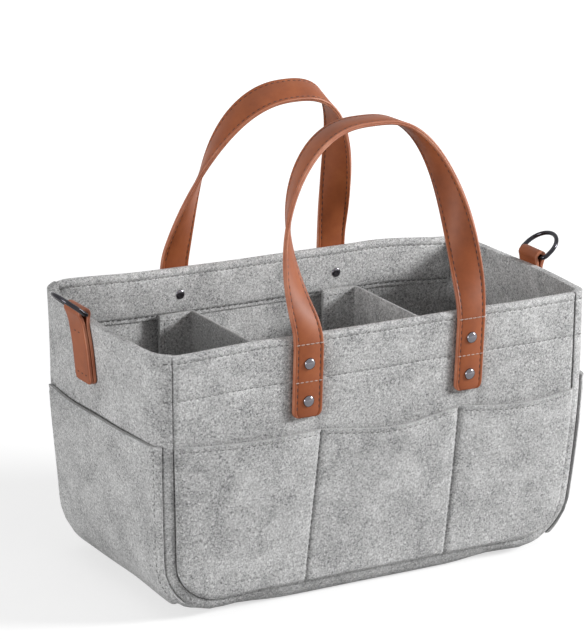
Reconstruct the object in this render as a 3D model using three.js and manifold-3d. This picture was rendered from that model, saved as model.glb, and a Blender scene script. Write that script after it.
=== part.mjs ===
// A felt caddy with leather handles, D-rings and lift-out dividers.
// Millimetres, +Z up. The origin is the middle of the underside, +X runs along the caddy, -Y is its front.
//
// The felt body is drawn as an upright box first. Two maps then bend every point of it:
// feltPoint leans and bows the walls and tilts the rim as soft felt does, and liningPoint bows across the
// depth only, so that a divider still lifts straight up.

import * as THREE from "three";
import { mergeVertices } from "three/addons/utils/BufferGeometryUtils.js";
import Module from "manifold-3d";

const wasm = await Module();
wasm.setup();

const body = {
  length: 302, // outside, at the base
  depth: 150, // outside, at the base
  height: 180,
  rimLengthGain: 18, // the rim's corners stand further apart than the base's
  rimDepthGain: 4,
  endBow: 5, // the end walls' swelling at the rim
  sideBow: 6, // the long walls' swelling at the rim
  lowerCornerRadius: 32,
  uprightCornerRadius: 6,
  wallZone: 15, // what lies this near a wall swells with it
  rimTwist: 3.8, // how far each corner of the rim rises or dips, the left ends against the right ones
  rightDrop: 3.1, // of the rim at the right end
  levelReach: 80, // the rim is level this far from the middle
};

const felt = {
  wall: 3,
  pocketThickness: 2.5,
  divider: 2.5,
  seamLip: 8, // how far the gusset strip turns onto the front and the back
};

const gap = 0.3; // between pieces that touch
const overrun = 5; // how far a cutter runs past what it cuts

// How finely round and bowed shapes are faceted: a length, then counts.
const facets = {
  longest: 24, // along a bowed wall
  quarterTurn: 4,
  lowerCorner: 6, // of the gusset strip and the end pockets
  wallRows: 6, // up a wall, and across the gusset strip
  rim: 6, // over the rim's fold
  endPocket: 10, // across an end pocket
  rivet: 16, // round a rivet
  dividerCorner: 3,
};

const pocket = {
  height: 116, // top edge above the surface
  belowStraps: 11.5, // how far under the handles' straps the pockets start
  belowTabs: 23,
  sag: 2, // the top edge's dip in the middle of a pocket
  gapes: [7, 9, 7], // how far each long-side pocket stands open
  endGape: 7,
  gapeAcrossPower: 0.8, // below 1, a pocket opens steeply beside its stitches
  gapeUpPower: 0.9,
  seamClear: 5, // no facet of a pocket ends nearer to a stitch line than this
  seamTops: [-42.5, 56.2], // the stitch lines between the pockets, at the top edge
  seamBottoms: [-50.5, 54.3], // and at the base
  endWidth: 140,
  endTuckAngle: Math.PI * 0.28, // how far round the lower corner an end pocket is sewn
};

const strap = {
  width: 21.8,
  thickness: 3,
  spacing: 114.6, // between the middles of one handle's two legs, drawn upright
  hemShare: 0.624, // of the sewn ends' length: the rim's fold inside ends between their rivets
  cornerRadius: 4,
  edgeRadius: 0.7,
};

const rivet = {
  headRadius: 3.8,
  headHeight: 2.1,
  shankRadius: 2,
  capRadius: 3.3,
  capHeight: 1.2,
  shares: [0.343, 0.817], // how far down a strap's sewn end the two rivets sit
};

const handle = {
  straightRise: 4, // how far the strap goes up from the rim before it starts to turn
  knuckleShares: [0.42, 0.25, 0], // of a half turn, where the strap's rounded lower end is faceted
  steps: 44,
  lengthSamples: 800,
};

// The two handles stand a little differently, as soft straps do.
const handles = {
  front: {
    offset: 4.1, // of the legs' middle from the caddy's middle
    rise: 126.5, // from the rim to the middle of the strap at its highest
    squareness: 2.78, // 2 is an ellipse, more is squarer
    bulge: 0.079, // the share by which the arch is wider half way up
    topShift: 8.1, // of the arch's top, sideways
    lean: Math.PI * 0.125, // in over the caddy
    twist: Math.PI * 0.621, // the strap's turn between a leg and the top
    twistPower: 0.89, // below 1, the strap turns more near its legs than near the top
  },
  back: {
    offset: 1,
    rise: 119.5,
    squareness: 2.44,
    bulge: -0.034,
    topShift: 11.5,
    lean: Math.PI * 0.067,
    twist: Math.PI * 0.594,
    twistPower: 1.06,
  },
};

const tab = {
  width: 20.5,
  layer: 2.4, // one layer of the folded leather
  places: { left: 11, right: -2 }, // of each tab's middle along its end, as sewn by hand
  eyeHeight: 5.6, // of the eye's middle above the rim
  eyePlay: 0.4,
};

const ring = {
  wire: 3,
  width: 27.5, // between the wire's middles
  straight: 3, // the straight stretch of each side
  cornerRadius: 3,
  restAngle: Math.PI * 0.2, // above the horizontal
  wireSides: 10,
  arcSteps: 10,
  cornerSteps: 3,
};

const divider = {
  height: 145,
  flange: 30,
  cornerRadius: 2.2,
  leftX: -48,
  rightX: 75,
  longFlangeBottom: 20,
};

const fastener = {
  loopThickness: 1.6,
  hookThickness: 1.8,
  loopWidth: 25,
  margin: 1.5, // how much smaller a hook pad is than its loop strip, all round
  aboveCorner: 2, // where the strips start, above the curve of the lower corner
  length: 80,
};

const half = { length: body.length / 2, depth: body.depth / 2 };
const seamInset = felt.seamLip + gap;
const panelHalfLength = half.length - seamInset;
const strapDrop = body.height - pocket.height - pocket.belowStraps;
const tabDrop = body.height - pocket.height - pocket.belowTabs;
const hemDepth = strapDrop * strap.hemShare;
const handleOf = (side) => (side < 0 ? handles.front : handles.back);
const legMiddle = (side, leg) => handleOf(side).offset + (leg * strap.spacing) / 2;

// The share of the full height that a point has reached.
const heightShare = (z) => z / body.height;

// How far a point follows its wall's swelling: all the way near the wall, not at all in the middle.
const followShare = (distance, wallDistance) =>
  THREE.MathUtils.smoothstep(Math.abs(distance), 0, wallDistance - body.wallZone);

// The swelling along a wall: all of it half way between the corners, and none past them.
const alongShare = (distance, halfWidth) => Math.max(0, 1 - (distance / halfWidth) ** 2);

function depthMap(x, y, z) {
  const lean = (y / half.depth) * (body.rimDepthGain / 2);
  const bow = body.sideBow * alongShare(x, half.length) * followShare(y, half.depth);
  return y + (lean + Math.sign(y) * bow) * heightShare(z);
}

function lengthMap(x, y, z) {
  const lean = (x / half.length) * (body.rimLengthGain / 2);
  const bow = body.endBow * alongShare(y, half.depth) * followShare(x, half.length);
  return x + (lean + Math.sign(x) * bow) * heightShare(z);
}

// Soft felt doesn't stand level: the rim rises and dips towards its ends.
function heightMap(x, y, z) {
  const twist = -Math.sign(x) * body.rimTwist * (y / half.depth);
  const drop = x > 0 ? body.rightDrop : 0;
  const endShare = THREE.MathUtils.smoothstep(Math.abs(x), body.levelReach, half.length);
  return z + (twist - drop) * endShare * heightShare(z);
}

const feltPoint = (p) =>
  new THREE.Vector3(lengthMap(p.x, p.y, p.z), depthMap(p.x, p.y, p.z), heightMap(p.x, p.y, p.z));
const liningPoint = (p) => new THREE.Vector3(p.x, depthMap(p.x, p.y, p.z), p.z);

const range = (count, make) => Array.from({ length: count }, (_, i) => make(i));
const spread = (from, to, steps) => range(steps + 1, (i) => from + ((to - from) * i) / steps);
const stepsFor = (length) => Math.ceil(length / facets.longest);

// Solids

function signedVolume(geometry) {
  const at = geometry.getAttribute("position");
  const corners = geometry.index.array;
  const [a, b, c] = [new THREE.Vector3(), new THREE.Vector3(), new THREE.Vector3()];
  let six = 0;
  for (let i = 0; i < corners.length; i += 3) {
    a.fromBufferAttribute(at, corners[i]);
    b.fromBufferAttribute(at, corners[i + 1]);
    c.fromBufferAttribute(at, corners[i + 2]);
    six += a.dot(b.cross(c));
  }
  return six / 6;
}

// Merges a geometry's shared corners, moves each by a map, and turns its faces outward.
function closedBody(geometry, map = (p) => p) {
  const bare = geometry.clone();
  bare.deleteAttribute("normal");
  bare.deleteAttribute("uv");
  const merged = mergeVertices(bare);
  const at = merged.getAttribute("position");
  const p = new THREE.Vector3();
  for (let i = 0; i < at.count; i++) {
    const moved = map(p.fromBufferAttribute(at, i).clone());
    at.setXYZ(i, moved.x, moved.y, moved.z);
  }
  if (signedVolume(merged) < 0) merged.index.array.reverse();
  return merged;
}

function toManifold(geometry) {
  const vertProperties = new Float32Array(geometry.getAttribute("position").array);
  const triVerts = new Uint32Array(geometry.index.array);
  return new wasm.Manifold(new wasm.Mesh({ numProp: 3, vertProperties, triVerts }));
}

function fromManifold(manifold) {
  const { vertProperties, triVerts } = manifold.getMesh();
  const geometry = new THREE.BufferGeometry();
  geometry.setAttribute("position", new THREE.BufferAttribute(vertProperties, 3));
  geometry.setIndex(new THREE.BufferAttribute(triVerts, 1));
  return geometry;
}

function cut(geometry, cutters) {
  const left = cutters.reduce((rest, cutter) => rest.subtract(toManifold(cutter)), toManifold(geometry));
  return fromManifold(left);
}

function join(geometries) {
  return fromManifold(geometries.map(toManifold).reduce((sum, next) => sum.add(next)));
}

// An outline filled with triangles that wind as it does, or the other way round.
function capFaces(outline, first, backwards) {
  const windsLeft = THREE.ShapeUtils.area(outline) > 0;
  return THREE.ShapeUtils.triangulateShape([...outline], []).flatMap((face) => {
    const sameWay = THREE.ShapeUtils.area(face.map((i) => outline[i])) > 0 === windsLeft;
    const corners = face.map((i) => first + i);
    return sameWay === backwards ? corners.reverse() : corners;
  });
}

// The same for a band's outline, which runs up one edge and back down the other.
function bandFaces(outline, first, backwards) {
  const last = outline.length - 1;
  const corners = range(last - 1, (k) => {
    const i = Math.floor(k / 2);
    const opposite = last - i;
    return k % 2 ? [i + 1, opposite - 1, opposite] : [i, i + 1, opposite];
  });
  return corners.flatMap((face) => (backwards ? face.reverse() : face).map((i) => first + i));
}

// Joins a row of outlines, each with as many points, into one closed body.
// A section is { outline: Vector2[], place: (Vector2) => Vector3 }.
function loft(sections, fillEnd = capFaces) {
  const count = sections[0].outline.length;
  const points = sections.flatMap(({ outline, place }) => outline.map(place));
  const faces = [];
  const spans = fillEnd ? sections.length - 1 : sections.length;
  for (let s = 0; s < spans; s++) {
    const near = s * count;
    const far = ((s + 1) % sections.length) * count;
    for (let i = 0; i < count; i++) {
      const j = (i + 1) % count;
      faces.push(near + i, near + j, far + j, near + i, far + j, far + i);
    }
  }
  if (fillEnd) {
    faces.push(...fillEnd(sections[0].outline, 0, true));
    faces.push(...fillEnd(sections.at(-1).outline, (sections.length - 1) * count, false));
  }
  const geometry = new THREE.BufferGeometry().setFromPoints(points);
  geometry.setIndex(faces);
  if (signedVolume(geometry) < 0) geometry.index.array.reverse();
  return geometry;
}

// A loft whose last outline joins its first.
const loopLoft = (sections) => loft(sections, null);

function slab(low, high, map) {
  const size = new THREE.Vector3().subVectors(high, low);
  const box = new THREE.BoxGeometry(size.x, size.y, size.z, stepsFor(size.x), stepsFor(size.y), 1);
  box.translate(low.x + size.x / 2, low.y + size.y / 2, low.z + size.z / 2);
  return closedBody(box, map);
}

// A shape drawn in X and Z, given a thickness along Y.
function plateAcross(shape, fromY, toY, map) {
  const plate = new THREE.ExtrudeGeometry(shape, {
    depth: toY - fromY,
    bevelEnabled: false,
    curveSegments: facets.quarterTurn,
  });
  return closedBody(plate, (p) => map(new THREE.Vector3(p.x, fromY + p.z, p.y)));
}

// Felt body

// The gusset strip's path in X and Z, with the direction that points into the caddy.
function gussetPath(fromHeight, toAngle = Math.PI / 2) {
  const radius = body.lowerCornerRadius;
  const wall = spread(fromHeight, radius, facets.wallRows).map((z) => ({ x: -half.length, z, inX: 1, inZ: 0 }));
  const corner = spread(0, toAngle, facets.lowerCorner)
    .slice(1)
    .map((angle) => ({
      x: -half.length + radius - radius * Math.cos(angle),
      z: radius - radius * Math.sin(angle),
      inX: Math.cos(angle),
      inZ: Math.sin(angle),
    }));
  return [...wall, ...corner];
}

function quarter(centreY, centreN, radius, fromAngle, toAngle) {
  return spread(fromAngle, toAngle, facets.quarterTurn).map(
    (a) => new THREE.Vector2(centreY + radius * Math.cos(a), centreN + radius * Math.sin(a)),
  );
}

function gussetStrip() {
  const side = gussetPath(body.height);
  const mirrored = side.map((f) => ({ ...f, x: -f.x, inX: -f.inX })).reverse();
  const baseHalf = half.length - body.lowerCornerRadius;
  const base = spread(-baseHalf, baseHalf, stepsFor(2 * baseHalf))
    .slice(1, -1)
    .map((x) => ({ x, z: 0, inX: 0, inZ: 1 }));
  const outerRadius = body.uprightCornerRadius;
  const innerRadius = outerRadius - felt.wall;
  const bend = half.depth - outerRadius;
  const across = spread(-bend, bend, facets.wallRows).slice(1, -1);
  const outline = [
    new THREE.Vector2(-half.depth, felt.seamLip),
    ...quarter(-bend, outerRadius, outerRadius, Math.PI, Math.PI * 1.5),
    ...across.map((y) => new THREE.Vector2(y, 0)),
    ...quarter(bend, outerRadius, outerRadius, Math.PI * 1.5, Math.PI * 2),
    new THREE.Vector2(half.depth, felt.seamLip),
    new THREE.Vector2(half.depth - felt.wall, felt.seamLip),
    ...quarter(bend, outerRadius, innerRadius, Math.PI * 2, Math.PI * 1.5),
    ...across.toReversed().map((y) => new THREE.Vector2(y, felt.wall)),
    ...quarter(-bend, outerRadius, innerRadius, Math.PI * 1.5, Math.PI),
    new THREE.Vector2(felt.wall - half.depth, felt.seamLip),
  ];
  const sections = [...side, ...base, ...mirrored].map((f) => ({
    outline,
    place: (q) => feltPoint(new THREE.Vector3(f.x + q.y * f.inX, q.x, f.z + q.y * f.inZ)),
  }));
  return loft(sections, bandFaces);
}

// The lower edge of the long walls' panels: straight, with rounded corners inside the gusset's lip.
function panelBottom(x) {
  const radius = body.lowerCornerRadius - seamInset;
  const past = Math.max(0, Math.abs(x) - (panelHalfLength - radius));
  return seamInset + radius - Math.sqrt(Math.max(0, radius ** 2 - past ** 2));
}

// Where the panels' facets end along X, closer together round the lower corners.
function panelStations() {
  const radius = body.lowerCornerRadius - seamInset;
  const straight = panelHalfLength - radius;
  const corner = spread(Math.PI / 2, 0, facets.quarterTurn + 1)
    .slice(0, -1)
    .map((a) => straight + radius * Math.sin(a));
  const middle = spread(straight, -straight, stepsFor(2 * straight));
  return [...corner.map((x) => -x), ...middle.toReversed(), ...corner.toReversed()];
}

function rivetSites(side) {
  return [-1, 1].flatMap((leg) =>
    rivet.shares.map((share, row) => {
      const x = legMiddle(side, leg);
      const z = body.height - strapDrop * share;
      const wallDepth = share < strap.hemShare ? 2 * felt.wall : felt.wall;
      const onFace = (dx, dz) =>
        feltPoint(new THREE.Vector3(x + dx, side * (half.depth + gap + strap.thickness), z + dz));
      const at = onFace(0, 0);
      const alongX = onFace(strap.width / 2, 0).sub(at);
      const alongZ = onFace(0, strap.width / 2).sub(at);
      const out = alongZ.cross(alongX).normalize().multiplyScalar(side);
      const legName = leg < 0 ? "left" : "right";
      const rowName = row === 0 ? "upper" : "lower";
      return { at, out, wallDepth, name: legName + "_" + rowName };
    }),
  );
}

// Turns a body made round the Y axis onto a rivet's place.
function setOnSite(geometry, site) {
  const turn = new THREE.Quaternion().setFromUnitVectors(new THREE.Vector3(0, 1, 0), site.out);
  return closedBody(geometry, (p) => p.applyQuaternion(turn).add(site.at));
}

const rivetHole = (site) =>
  setOnSite(
    new THREE.CylinderGeometry(
      rivet.shankRadius + gap,
      rivet.shankRadius + gap,
      2 * (strap.thickness + site.wallDepth + overrun),
      facets.rivet,
    ),
    site,
  );

function longPanel(side) {
  const rimRadius = felt.wall;
  const rimCentre = body.height - rimRadius;
  const sections = panelStations().map((x) => ({
    outline: [
      new THREE.Vector2(0, panelBottom(x)),
      ...spread(Math.PI, 0, facets.rim).map(
        (a) => new THREE.Vector2(felt.wall + rimRadius * Math.cos(a), rimCentre + rimRadius * Math.sin(a)),
      ),
      new THREE.Vector2(2 * felt.wall, body.height - hemDepth),
      new THREE.Vector2(felt.wall, body.height - hemDepth),
      new THREE.Vector2(felt.wall, panelBottom(x)),
    ],
    place: (q) => feltPoint(new THREE.Vector3(x, side * (half.depth - q.x), q.y)),
  }));
  return cut(loft(sections), rivetSites(side).map(rivetHole));
}

// How far a pocket stands open: most in the middle of its top edge, nothing along its stitches.
function gapeAt(gape, acrossShare, upShare) {
  const across = Math.max(0, Math.sin(Math.PI * acrossShare)) ** pocket.gapeAcrossPower;
  return gape * across * upShare ** pocket.gapeUpPower;
}

function bandOutline(upSteps, inner, outer) {
  const shares = spread(0, 1, upSteps);
  return [...shares.map((v) => inner(v)), ...shares.toReversed().map((v) => outer(v))];
}

function longPocket(side) {
  const stations = panelStations();
  const edges = [-panelHalfLength, ...pocket.seamBottoms, panelHalfLength];
  const tops = [-panelHalfLength, ...pocket.seamTops, panelHalfLength];
  const columns = pocket.gapes.flatMap((gape, i) => {
    const [from, to] = [edges[i], edges[i + 1]];
    const inside = stations.filter((x) => x > from + pocket.seamClear && x < to - pocket.seamClear);
    const starts = i === 0 ? [from, ...inside] : inside;
    return [...starts, to].map((x) => ({ i, gape, x, acrossShare: (x - from) / (to - from) }));
  });
  const sections = columns.map(({ i, gape, x, acrossShare }) => {
    const bottom = panelBottom(x);
    const top = pocket.height - pocket.sag * Math.sin(Math.PI * acrossShare) ** 2;
    const topX = tops[i] + (tops[i + 1] - tops[i]) * acrossShare;
    const point = (v, depth) => {
      const out = gap + gapeAt(gape, acrossShare, v) + depth;
      return new THREE.Vector2(out, bottom + (top - bottom) * v);
    };
    return {
      outline: bandOutline(facets.wallRows, (v) => point(v, 0), (v) => point(v, felt.pocketThickness)),
      place: (q) => {
        const upShare = (q.y - bottom) / (top - bottom);
        const atX = x + (topX - x) * upShare;
        return feltPoint(new THREE.Vector3(atX, side * (half.depth + q.x), q.y));
      },
    };
  });
  return loft(sections, bandFaces);
}

function endPocket(side) {
  const sections = spread(-pocket.endWidth / 2, pocket.endWidth / 2, facets.endPocket).map((y) => {
    const acrossShare = y / pocket.endWidth + 0.5;
    const top = pocket.height - pocket.sag * Math.sin(Math.PI * acrossShare) ** 2;
    const path = gussetPath(top, pocket.endTuckAngle).reverse();
    const point = (v, depth) => {
      const f = path[Math.round(v * (path.length - 1))];
      const out = gap + gapeAt(pocket.endGape, acrossShare, v) + depth;
      return new THREE.Vector2(side * (-f.x + out * f.inX), f.z - out * f.inZ);
    };
    return {
      outline: bandOutline(path.length - 1, (v) => point(v, 0), (v) => point(v, felt.pocketThickness)),
      place: (q) => feltPoint(new THREE.Vector3(q.x, y, q.y)),
    };
  });
  return loft(sections, bandFaces);
}

// Leather handles

// The riveted end of a strap, drawn up to the rim.
function strapEnd(side, leg) {
  const middle = legMiddle(side, leg);
  const [left, right] = [middle - strap.width / 2, middle + strap.width / 2];
  const bottom = body.height - strapDrop;
  const r = strap.cornerRadius;
  const shape = new THREE.Shape();
  shape.moveTo(left, body.height);
  shape.lineTo(left, bottom + r);
  shape.quadraticCurveTo(left, bottom, left + r, bottom);
  shape.lineTo(right - r, bottom);
  shape.quadraticCurveTo(right, bottom, right, bottom + r);
  shape.lineTo(right, body.height);
  const inner = half.depth + gap;
  const plate = plateAcross(shape, side * inner, side * (inner + strap.thickness), feltPoint);
  return cut(plate, rivetSites(side).map(rivetHole));
}

// The line that a handle folds about: over the strap's riveted ends, just clear of them.
function foldLine(side) {
  const z = body.height + gap + strap.thickness / 2;
  const y = side * (half.depth + gap + strap.thickness / 2);
  const [left, right] = [-1, 1].map((leg) => feltPoint(new THREE.Vector3(legMiddle(side, leg), y, z)));
  return { middle: left.clone().add(right).divideScalar(2), halfSpan: (right.x - left.x) / 2 };
}

// The middle line of a handle's arch, flat: half an ellipse with squared shoulders, wider half way up.
class ArchCurve extends THREE.Curve {
  constructor(shape, halfSpan) {
    super();
    this.shape = shape;
    this.halfSpan = halfSpan;
    this.arcLengthDivisions = handle.lengthSamples;
  }
  getPoint(t, target = new THREE.Vector3()) {
    const { rise, squareness, bulge, topShift } = this.shape;
    const angle = Math.PI * t;
    const power = 2 / squareness;
    const up = Math.max(0, Math.sin(angle)) ** power;
    const across = -Math.sign(Math.cos(angle)) * Math.abs(Math.cos(angle)) ** power;
    const widening = 1 + bulge * 4 * up * (1 - up);
    return target.set(this.halfSpan * across * widening + topShift * Math.sin(angle) ** 2, 0, rise * up);
  }
}

// The strap's section: flat, with eased edges.
function strapOutline(thickness) {
  const [w, t] = [strap.width / 2, thickness / 2];
  const ease = Math.min(strap.edgeRadius, t / 2);
  return [
    [-w, -t + ease], [-w + ease, -t], [w - ease, -t], [w, -t + ease],
    [w, t - ease], [w - ease, t], [-w + ease, t], [-w, t - ease],
  ].map(([a, b]) => new THREE.Vector2(a, b));
}

// A handle's moving part. It leans over the caddy, and its strap turns from edge-on at the legs towards flat at
// the top. Its two lower ends are rounded, so that they roll over the riveted ends as the handle folds.
function handleArch(side) {
  const { rise, lean, twist, twistPower } = handleOf(side);
  const fold = foldLine(side);
  const curve = new ArchCurve(handleOf(side), fold.halfSpan);
  const radius = strap.thickness / 2;
  const knuckle = handle.knuckleShares.map((share) => ({
    t: 0,
    below: radius * Math.sin(Math.PI * share),
    thickness: strap.thickness * Math.cos(Math.PI * share),
  }));
  const run = spread(0, 1, handle.steps)
    .slice(1, -1)
    .map((t) => ({ t, below: 0, thickness: strap.thickness }));
  const stations = [...knuckle, ...run, ...knuckle.toReversed().map((k) => ({ ...k, t: 1 }))];
  const up = new THREE.Vector3(0, -side * Math.sin(lean), Math.cos(lean));
  const across = new THREE.Vector3(0, Math.cos(lean), side * Math.sin(lean));
  const sections = stations.map(({ t, below, thickness }) => {
    const flat = curve.getPointAt(t);
    const heading = t === 0 ? new THREE.Vector3(0, 0, 1) : curve.getTangentAt(t);
    if (t === 1) heading.set(0, 0, -1);
    const riseShare = Math.max(0, flat.z - handle.straightRise) / (rise - handle.straightRise);
    const turn = twist * riseShare ** twistPower;
    const along = new THREE.Vector3(heading.x, 0, 0).addScaledVector(up, heading.z);
    const inPlane = new THREE.Vector3().crossVectors(across, along).normalize();
    const wide = inPlane.clone().multiplyScalar(Math.cos(turn)).addScaledVector(across, Math.sin(turn));
    const thick = new THREE.Vector3().crossVectors(wide, along).normalize();
    const middle = fold.middle.clone().addScaledVector(up, flat.z - below);
    middle.x += flat.x;
    return {
      outline: strapOutline(thickness),
      place: (q) => middle.clone().addScaledVector(wide, q.x).addScaledVector(thick, q.y),
    };
  });
  return loft(sections);
}

// A rivet: a domed head on the leather, a shank, and a flat cap inside the felt.
function rivetBody(site) {
  const through = strap.thickness + gap + site.wallDepth + gap;
  const dome = spread(0, Math.PI / 2, facets.quarterTurn).map(
    (a) => new THREE.Vector2(rivet.headRadius * Math.cos(a), gap + rivet.headHeight * Math.sin(a)),
  );
  const profile = [
    new THREE.Vector2(0, -through - rivet.capHeight),
    new THREE.Vector2(rivet.capRadius, -through - rivet.capHeight),
    new THREE.Vector2(rivet.capRadius, -through),
    new THREE.Vector2(rivet.shankRadius, -through),
    new THREE.Vector2(rivet.shankRadius, gap),
    ...dome.slice(0, -1),
    new THREE.Vector2(0, gap + rivet.headHeight),
  ];
  return setOnSite(new THREE.LatheGeometry(profile, facets.rivet), site);
}

// End tabs and D-rings

const tabMiddle = half.length + gap + tab.layer;
const eye = new THREE.Vector3(tabMiddle, 0, body.height + tab.eyeHeight);
const eyeRadius = ring.wire / 2 + tab.eyePlay;

// A tab and its ring sit square, though the rim slopes a little under them.
const squarePoint = (x, y, z, place) => new THREE.Vector3(lengthMap(x, y, z), y + place, heightMap(x, 0, z));

// A strap folded over the ring's bar: two layers against the wall, and an eye above the rim.
function endTab(side, place) {
  const loopRadius = eyeRadius + tab.layer;
  const meet = Math.asin(tab.layer / loopRadius);
  const bottom = body.height - tabDrop;
  const shape = new THREE.Shape();
  shape.moveTo(tabMiddle - tab.layer, bottom);
  shape.lineTo(tabMiddle - tab.layer, eye.z - loopRadius * Math.cos(meet));
  shape.absarc(tabMiddle, eye.z, loopRadius, -Math.PI / 2 - meet, -Math.PI * 2.5 + meet, true);
  shape.lineTo(tabMiddle + tab.layer, bottom);
  shape.closePath();
  shape.holes.push(new THREE.Path().absarc(tabMiddle, eye.z, eyeRadius, 0, Math.PI * 2));
  const plate = new THREE.ExtrudeGeometry(shape, {
    depth: tab.width,
    bevelEnabled: false,
    curveSegments: 4 * facets.quarterTurn,
  });
  return closedBody(plate, (p) => squarePoint(side * p.x, p.z - tab.width / 2, p.y, place));
}

// The ring's middle line, drawn in Y and Z with its bar on the Y axis.
function ringPath() {
  const [wide, r] = [ring.width / 2, ring.cornerRadius];
  const arc = (y, z, radius, from, to, steps) =>
    spread(from, to, steps).map((a) => new THREE.Vector3(0, y + radius * Math.cos(a), z + radius * Math.sin(a)));
  return [
    ...arc(wide - r, r, r, -Math.PI / 2, 0, ring.cornerSteps),
    ...arc(0, r + ring.straight, wide, 0, Math.PI, ring.arcSteps),
    ...arc(r - wide, r, r, Math.PI, Math.PI * 1.5, ring.cornerSteps),
  ];
}

function dRing(side, place) {
  const path = ringPath();
  const bar = squarePoint(side * eye.x, eye.y, eye.z, place);
  const wireOutline = range(ring.wireSides, (i) => {
    const a = (i * 2 * Math.PI) / ring.wireSides;
    return new THREE.Vector2((ring.wire / 2) * Math.cos(a), (ring.wire / 2) * Math.sin(a));
  });
  const upright = new THREE.Vector3(1, 0, 0);
  const tilt = new THREE.Quaternion().setFromAxisAngle(
    new THREE.Vector3(0, 1, 0),
    side * (Math.PI / 2 - ring.restAngle),
  );
  const sections = path.map((middle, i) => {
    const before = path[(i + path.length - 1) % path.length];
    const after = path[(i + 1) % path.length];
    const into = new THREE.Vector3().subVectors(middle, before).normalize();
    const from = new THREE.Vector3().subVectors(after, middle).normalize();
    const along = into.add(from).normalize();
    const outward = new THREE.Vector3().crossVectors(along, upright).normalize();
    return {
      outline: wireOutline,
      place: (q) =>
        middle.clone().addScaledVector(outward, q.x).addScaledVector(upright, q.y).applyQuaternion(tilt).add(bar),
    };
  });
  return loopLoft(sections);
}

// Dividers and their fasteners

// From a wall's inner face: loop strip, hook pad, flange.
const loopNear = felt.wall + gap;
const loopFar = loopNear + fastener.loopThickness;
const hookNear = loopFar + gap;
const hookFar = hookNear + fastener.hookThickness;
const flangeNear = hookFar + gap;
const flangeFar = flangeNear + felt.divider;
const loopBottom = body.lowerCornerRadius + fastener.aboveCorner;
const loopTop = loopBottom + fastener.length;
const hookBottom = loopBottom + fastener.margin;
const hookTop = loopTop - fastener.margin;
const hookWidth = fastener.loopWidth - 2 * fastener.margin;
const dividerBottom = felt.wall + gap;
const dividerTop = dividerBottom + divider.height;

// A panel across the caddy, with a flange at each end turned towards -X.
function crossDivider(x) {
  const face = half.depth - flangeNear;
  const r = divider.cornerRadius;
  const [near, far] = [x + felt.divider / 2, x - felt.divider / 2];
  const tip = near - divider.flange;
  const shape = new THREE.Shape();
  shape.moveTo(tip, -face);
  shape.lineTo(near - r, -face);
  shape.quadraticCurveTo(near, -face, near, -face + r);
  shape.lineTo(near, face - r);
  shape.quadraticCurveTo(near, face, near - r, face);
  shape.lineTo(tip, face);
  shape.lineTo(tip, face - felt.divider);
  shape.lineTo(far, face - felt.divider);
  shape.lineTo(far, felt.divider - face);
  shape.lineTo(tip, felt.divider - face);
  shape.closePath();
  const panel = new THREE.ExtrudeGeometry(shape, {
    depth: divider.height,
    bevelEnabled: false,
    curveSegments: facets.dividerCorner,
  });
  panel.translate(0, 0, dividerBottom);
  return closedBody(panel, liningPoint);
}

// The layers on the right face of the right divider, from that face outwards.
const rightFace = divider.rightX + felt.divider / 2;
const longLeft = rightFace + flangeNear - felt.wall;
const longRight = half.length - flangeNear;

// The long divider stays upright beside the right divider and leans with the end wall at its other end.
function longDividerPoint(p) {
  const share = THREE.MathUtils.clamp((p.x - longLeft) / (longRight - longLeft), 0, 1);
  const leaned = lengthMap(p.x, p.y, p.z);
  return new THREE.Vector3(p.x + (leaned - p.x) * share, depthMap(p.x, p.y, p.z), p.z);
}

// A panel along the caddy, between the right divider and the end wall, with both flanges turned to the front.
function longDivider() {
  const arcCentre = half.length - body.lowerCornerRadius;
  const arcRadius = body.lowerCornerRadius - dividerBottom;
  const panelEnd = longRight;
  const arcEnd = Math.acos((panelEnd - arcCentre) / arcRadius);
  const shape = new THREE.Shape();
  shape.moveTo(longLeft, dividerTop);
  shape.lineTo(longLeft, dividerBottom);
  shape.lineTo(arcCentre, dividerBottom);
  shape.absarc(arcCentre, body.lowerCornerRadius, arcRadius, -Math.PI / 2, -arcEnd, false);
  shape.lineTo(panelEnd, dividerTop);
  shape.closePath();
  const back = felt.divider / 2;
  const front = back - divider.flange;
  const keep = (p) => p;
  const panel = plateAcross(shape, -back, back, keep);
  const flange = (fromX, toX, bottom) =>
    slab(new THREE.Vector3(fromX, front, bottom), new THREE.Vector3(toX, back, dividerTop), keep);
  const left = flange(longLeft, longLeft + felt.divider, dividerBottom);
  const right = flange(longRight - felt.divider, longRight, divider.longFlangeBottom);
  return closedBody(join([panel, left, right]), longDividerPoint);
}

// A strip on a long wall, between two depths counted in from the wall's outer face.
function wallStrip(side, middleX, width, near, far, bottom, top, map) {
  const ys = [side * (half.depth - near), side * (half.depth - far)];
  const low = new THREE.Vector3(middleX - width / 2, Math.min(...ys), bottom);
  const high = new THREE.Vector3(middleX + width / 2, Math.max(...ys), top);
  return slab(low, high, map);
}

const flangeMiddle = (x) => x + felt.divider / 2 - divider.flange / 2;
const longFlangeMiddle = felt.divider / 2 - divider.flange / 2;

const wallLoop = (side, x) =>
  wallStrip(
    side, flangeMiddle(x), fastener.loopWidth, loopNear, loopFar,
    loopBottom, loopTop, feltPoint,
  );

const flangeHook = (side, x) =>
  wallStrip(
    side, flangeMiddle(x), hookWidth, hookNear, hookFar,
    hookBottom, hookTop, liningPoint,
  );

// A strip that faces along X, beside one of the long divider's flanges.
function endStrip(fromX, toX, width, bottom, top, map) {
  const low = new THREE.Vector3(Math.min(fromX, toX), longFlangeMiddle - width / 2, bottom);
  const high = new THREE.Vector3(Math.max(fromX, toX), longFlangeMiddle + width / 2, top);
  return slab(low, high, map);
}

const endLoop = () =>
  endStrip(
    half.length - loopNear, half.length - loopFar, fastener.loopWidth,
    loopBottom, loopTop, feltPoint,
  );

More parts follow.
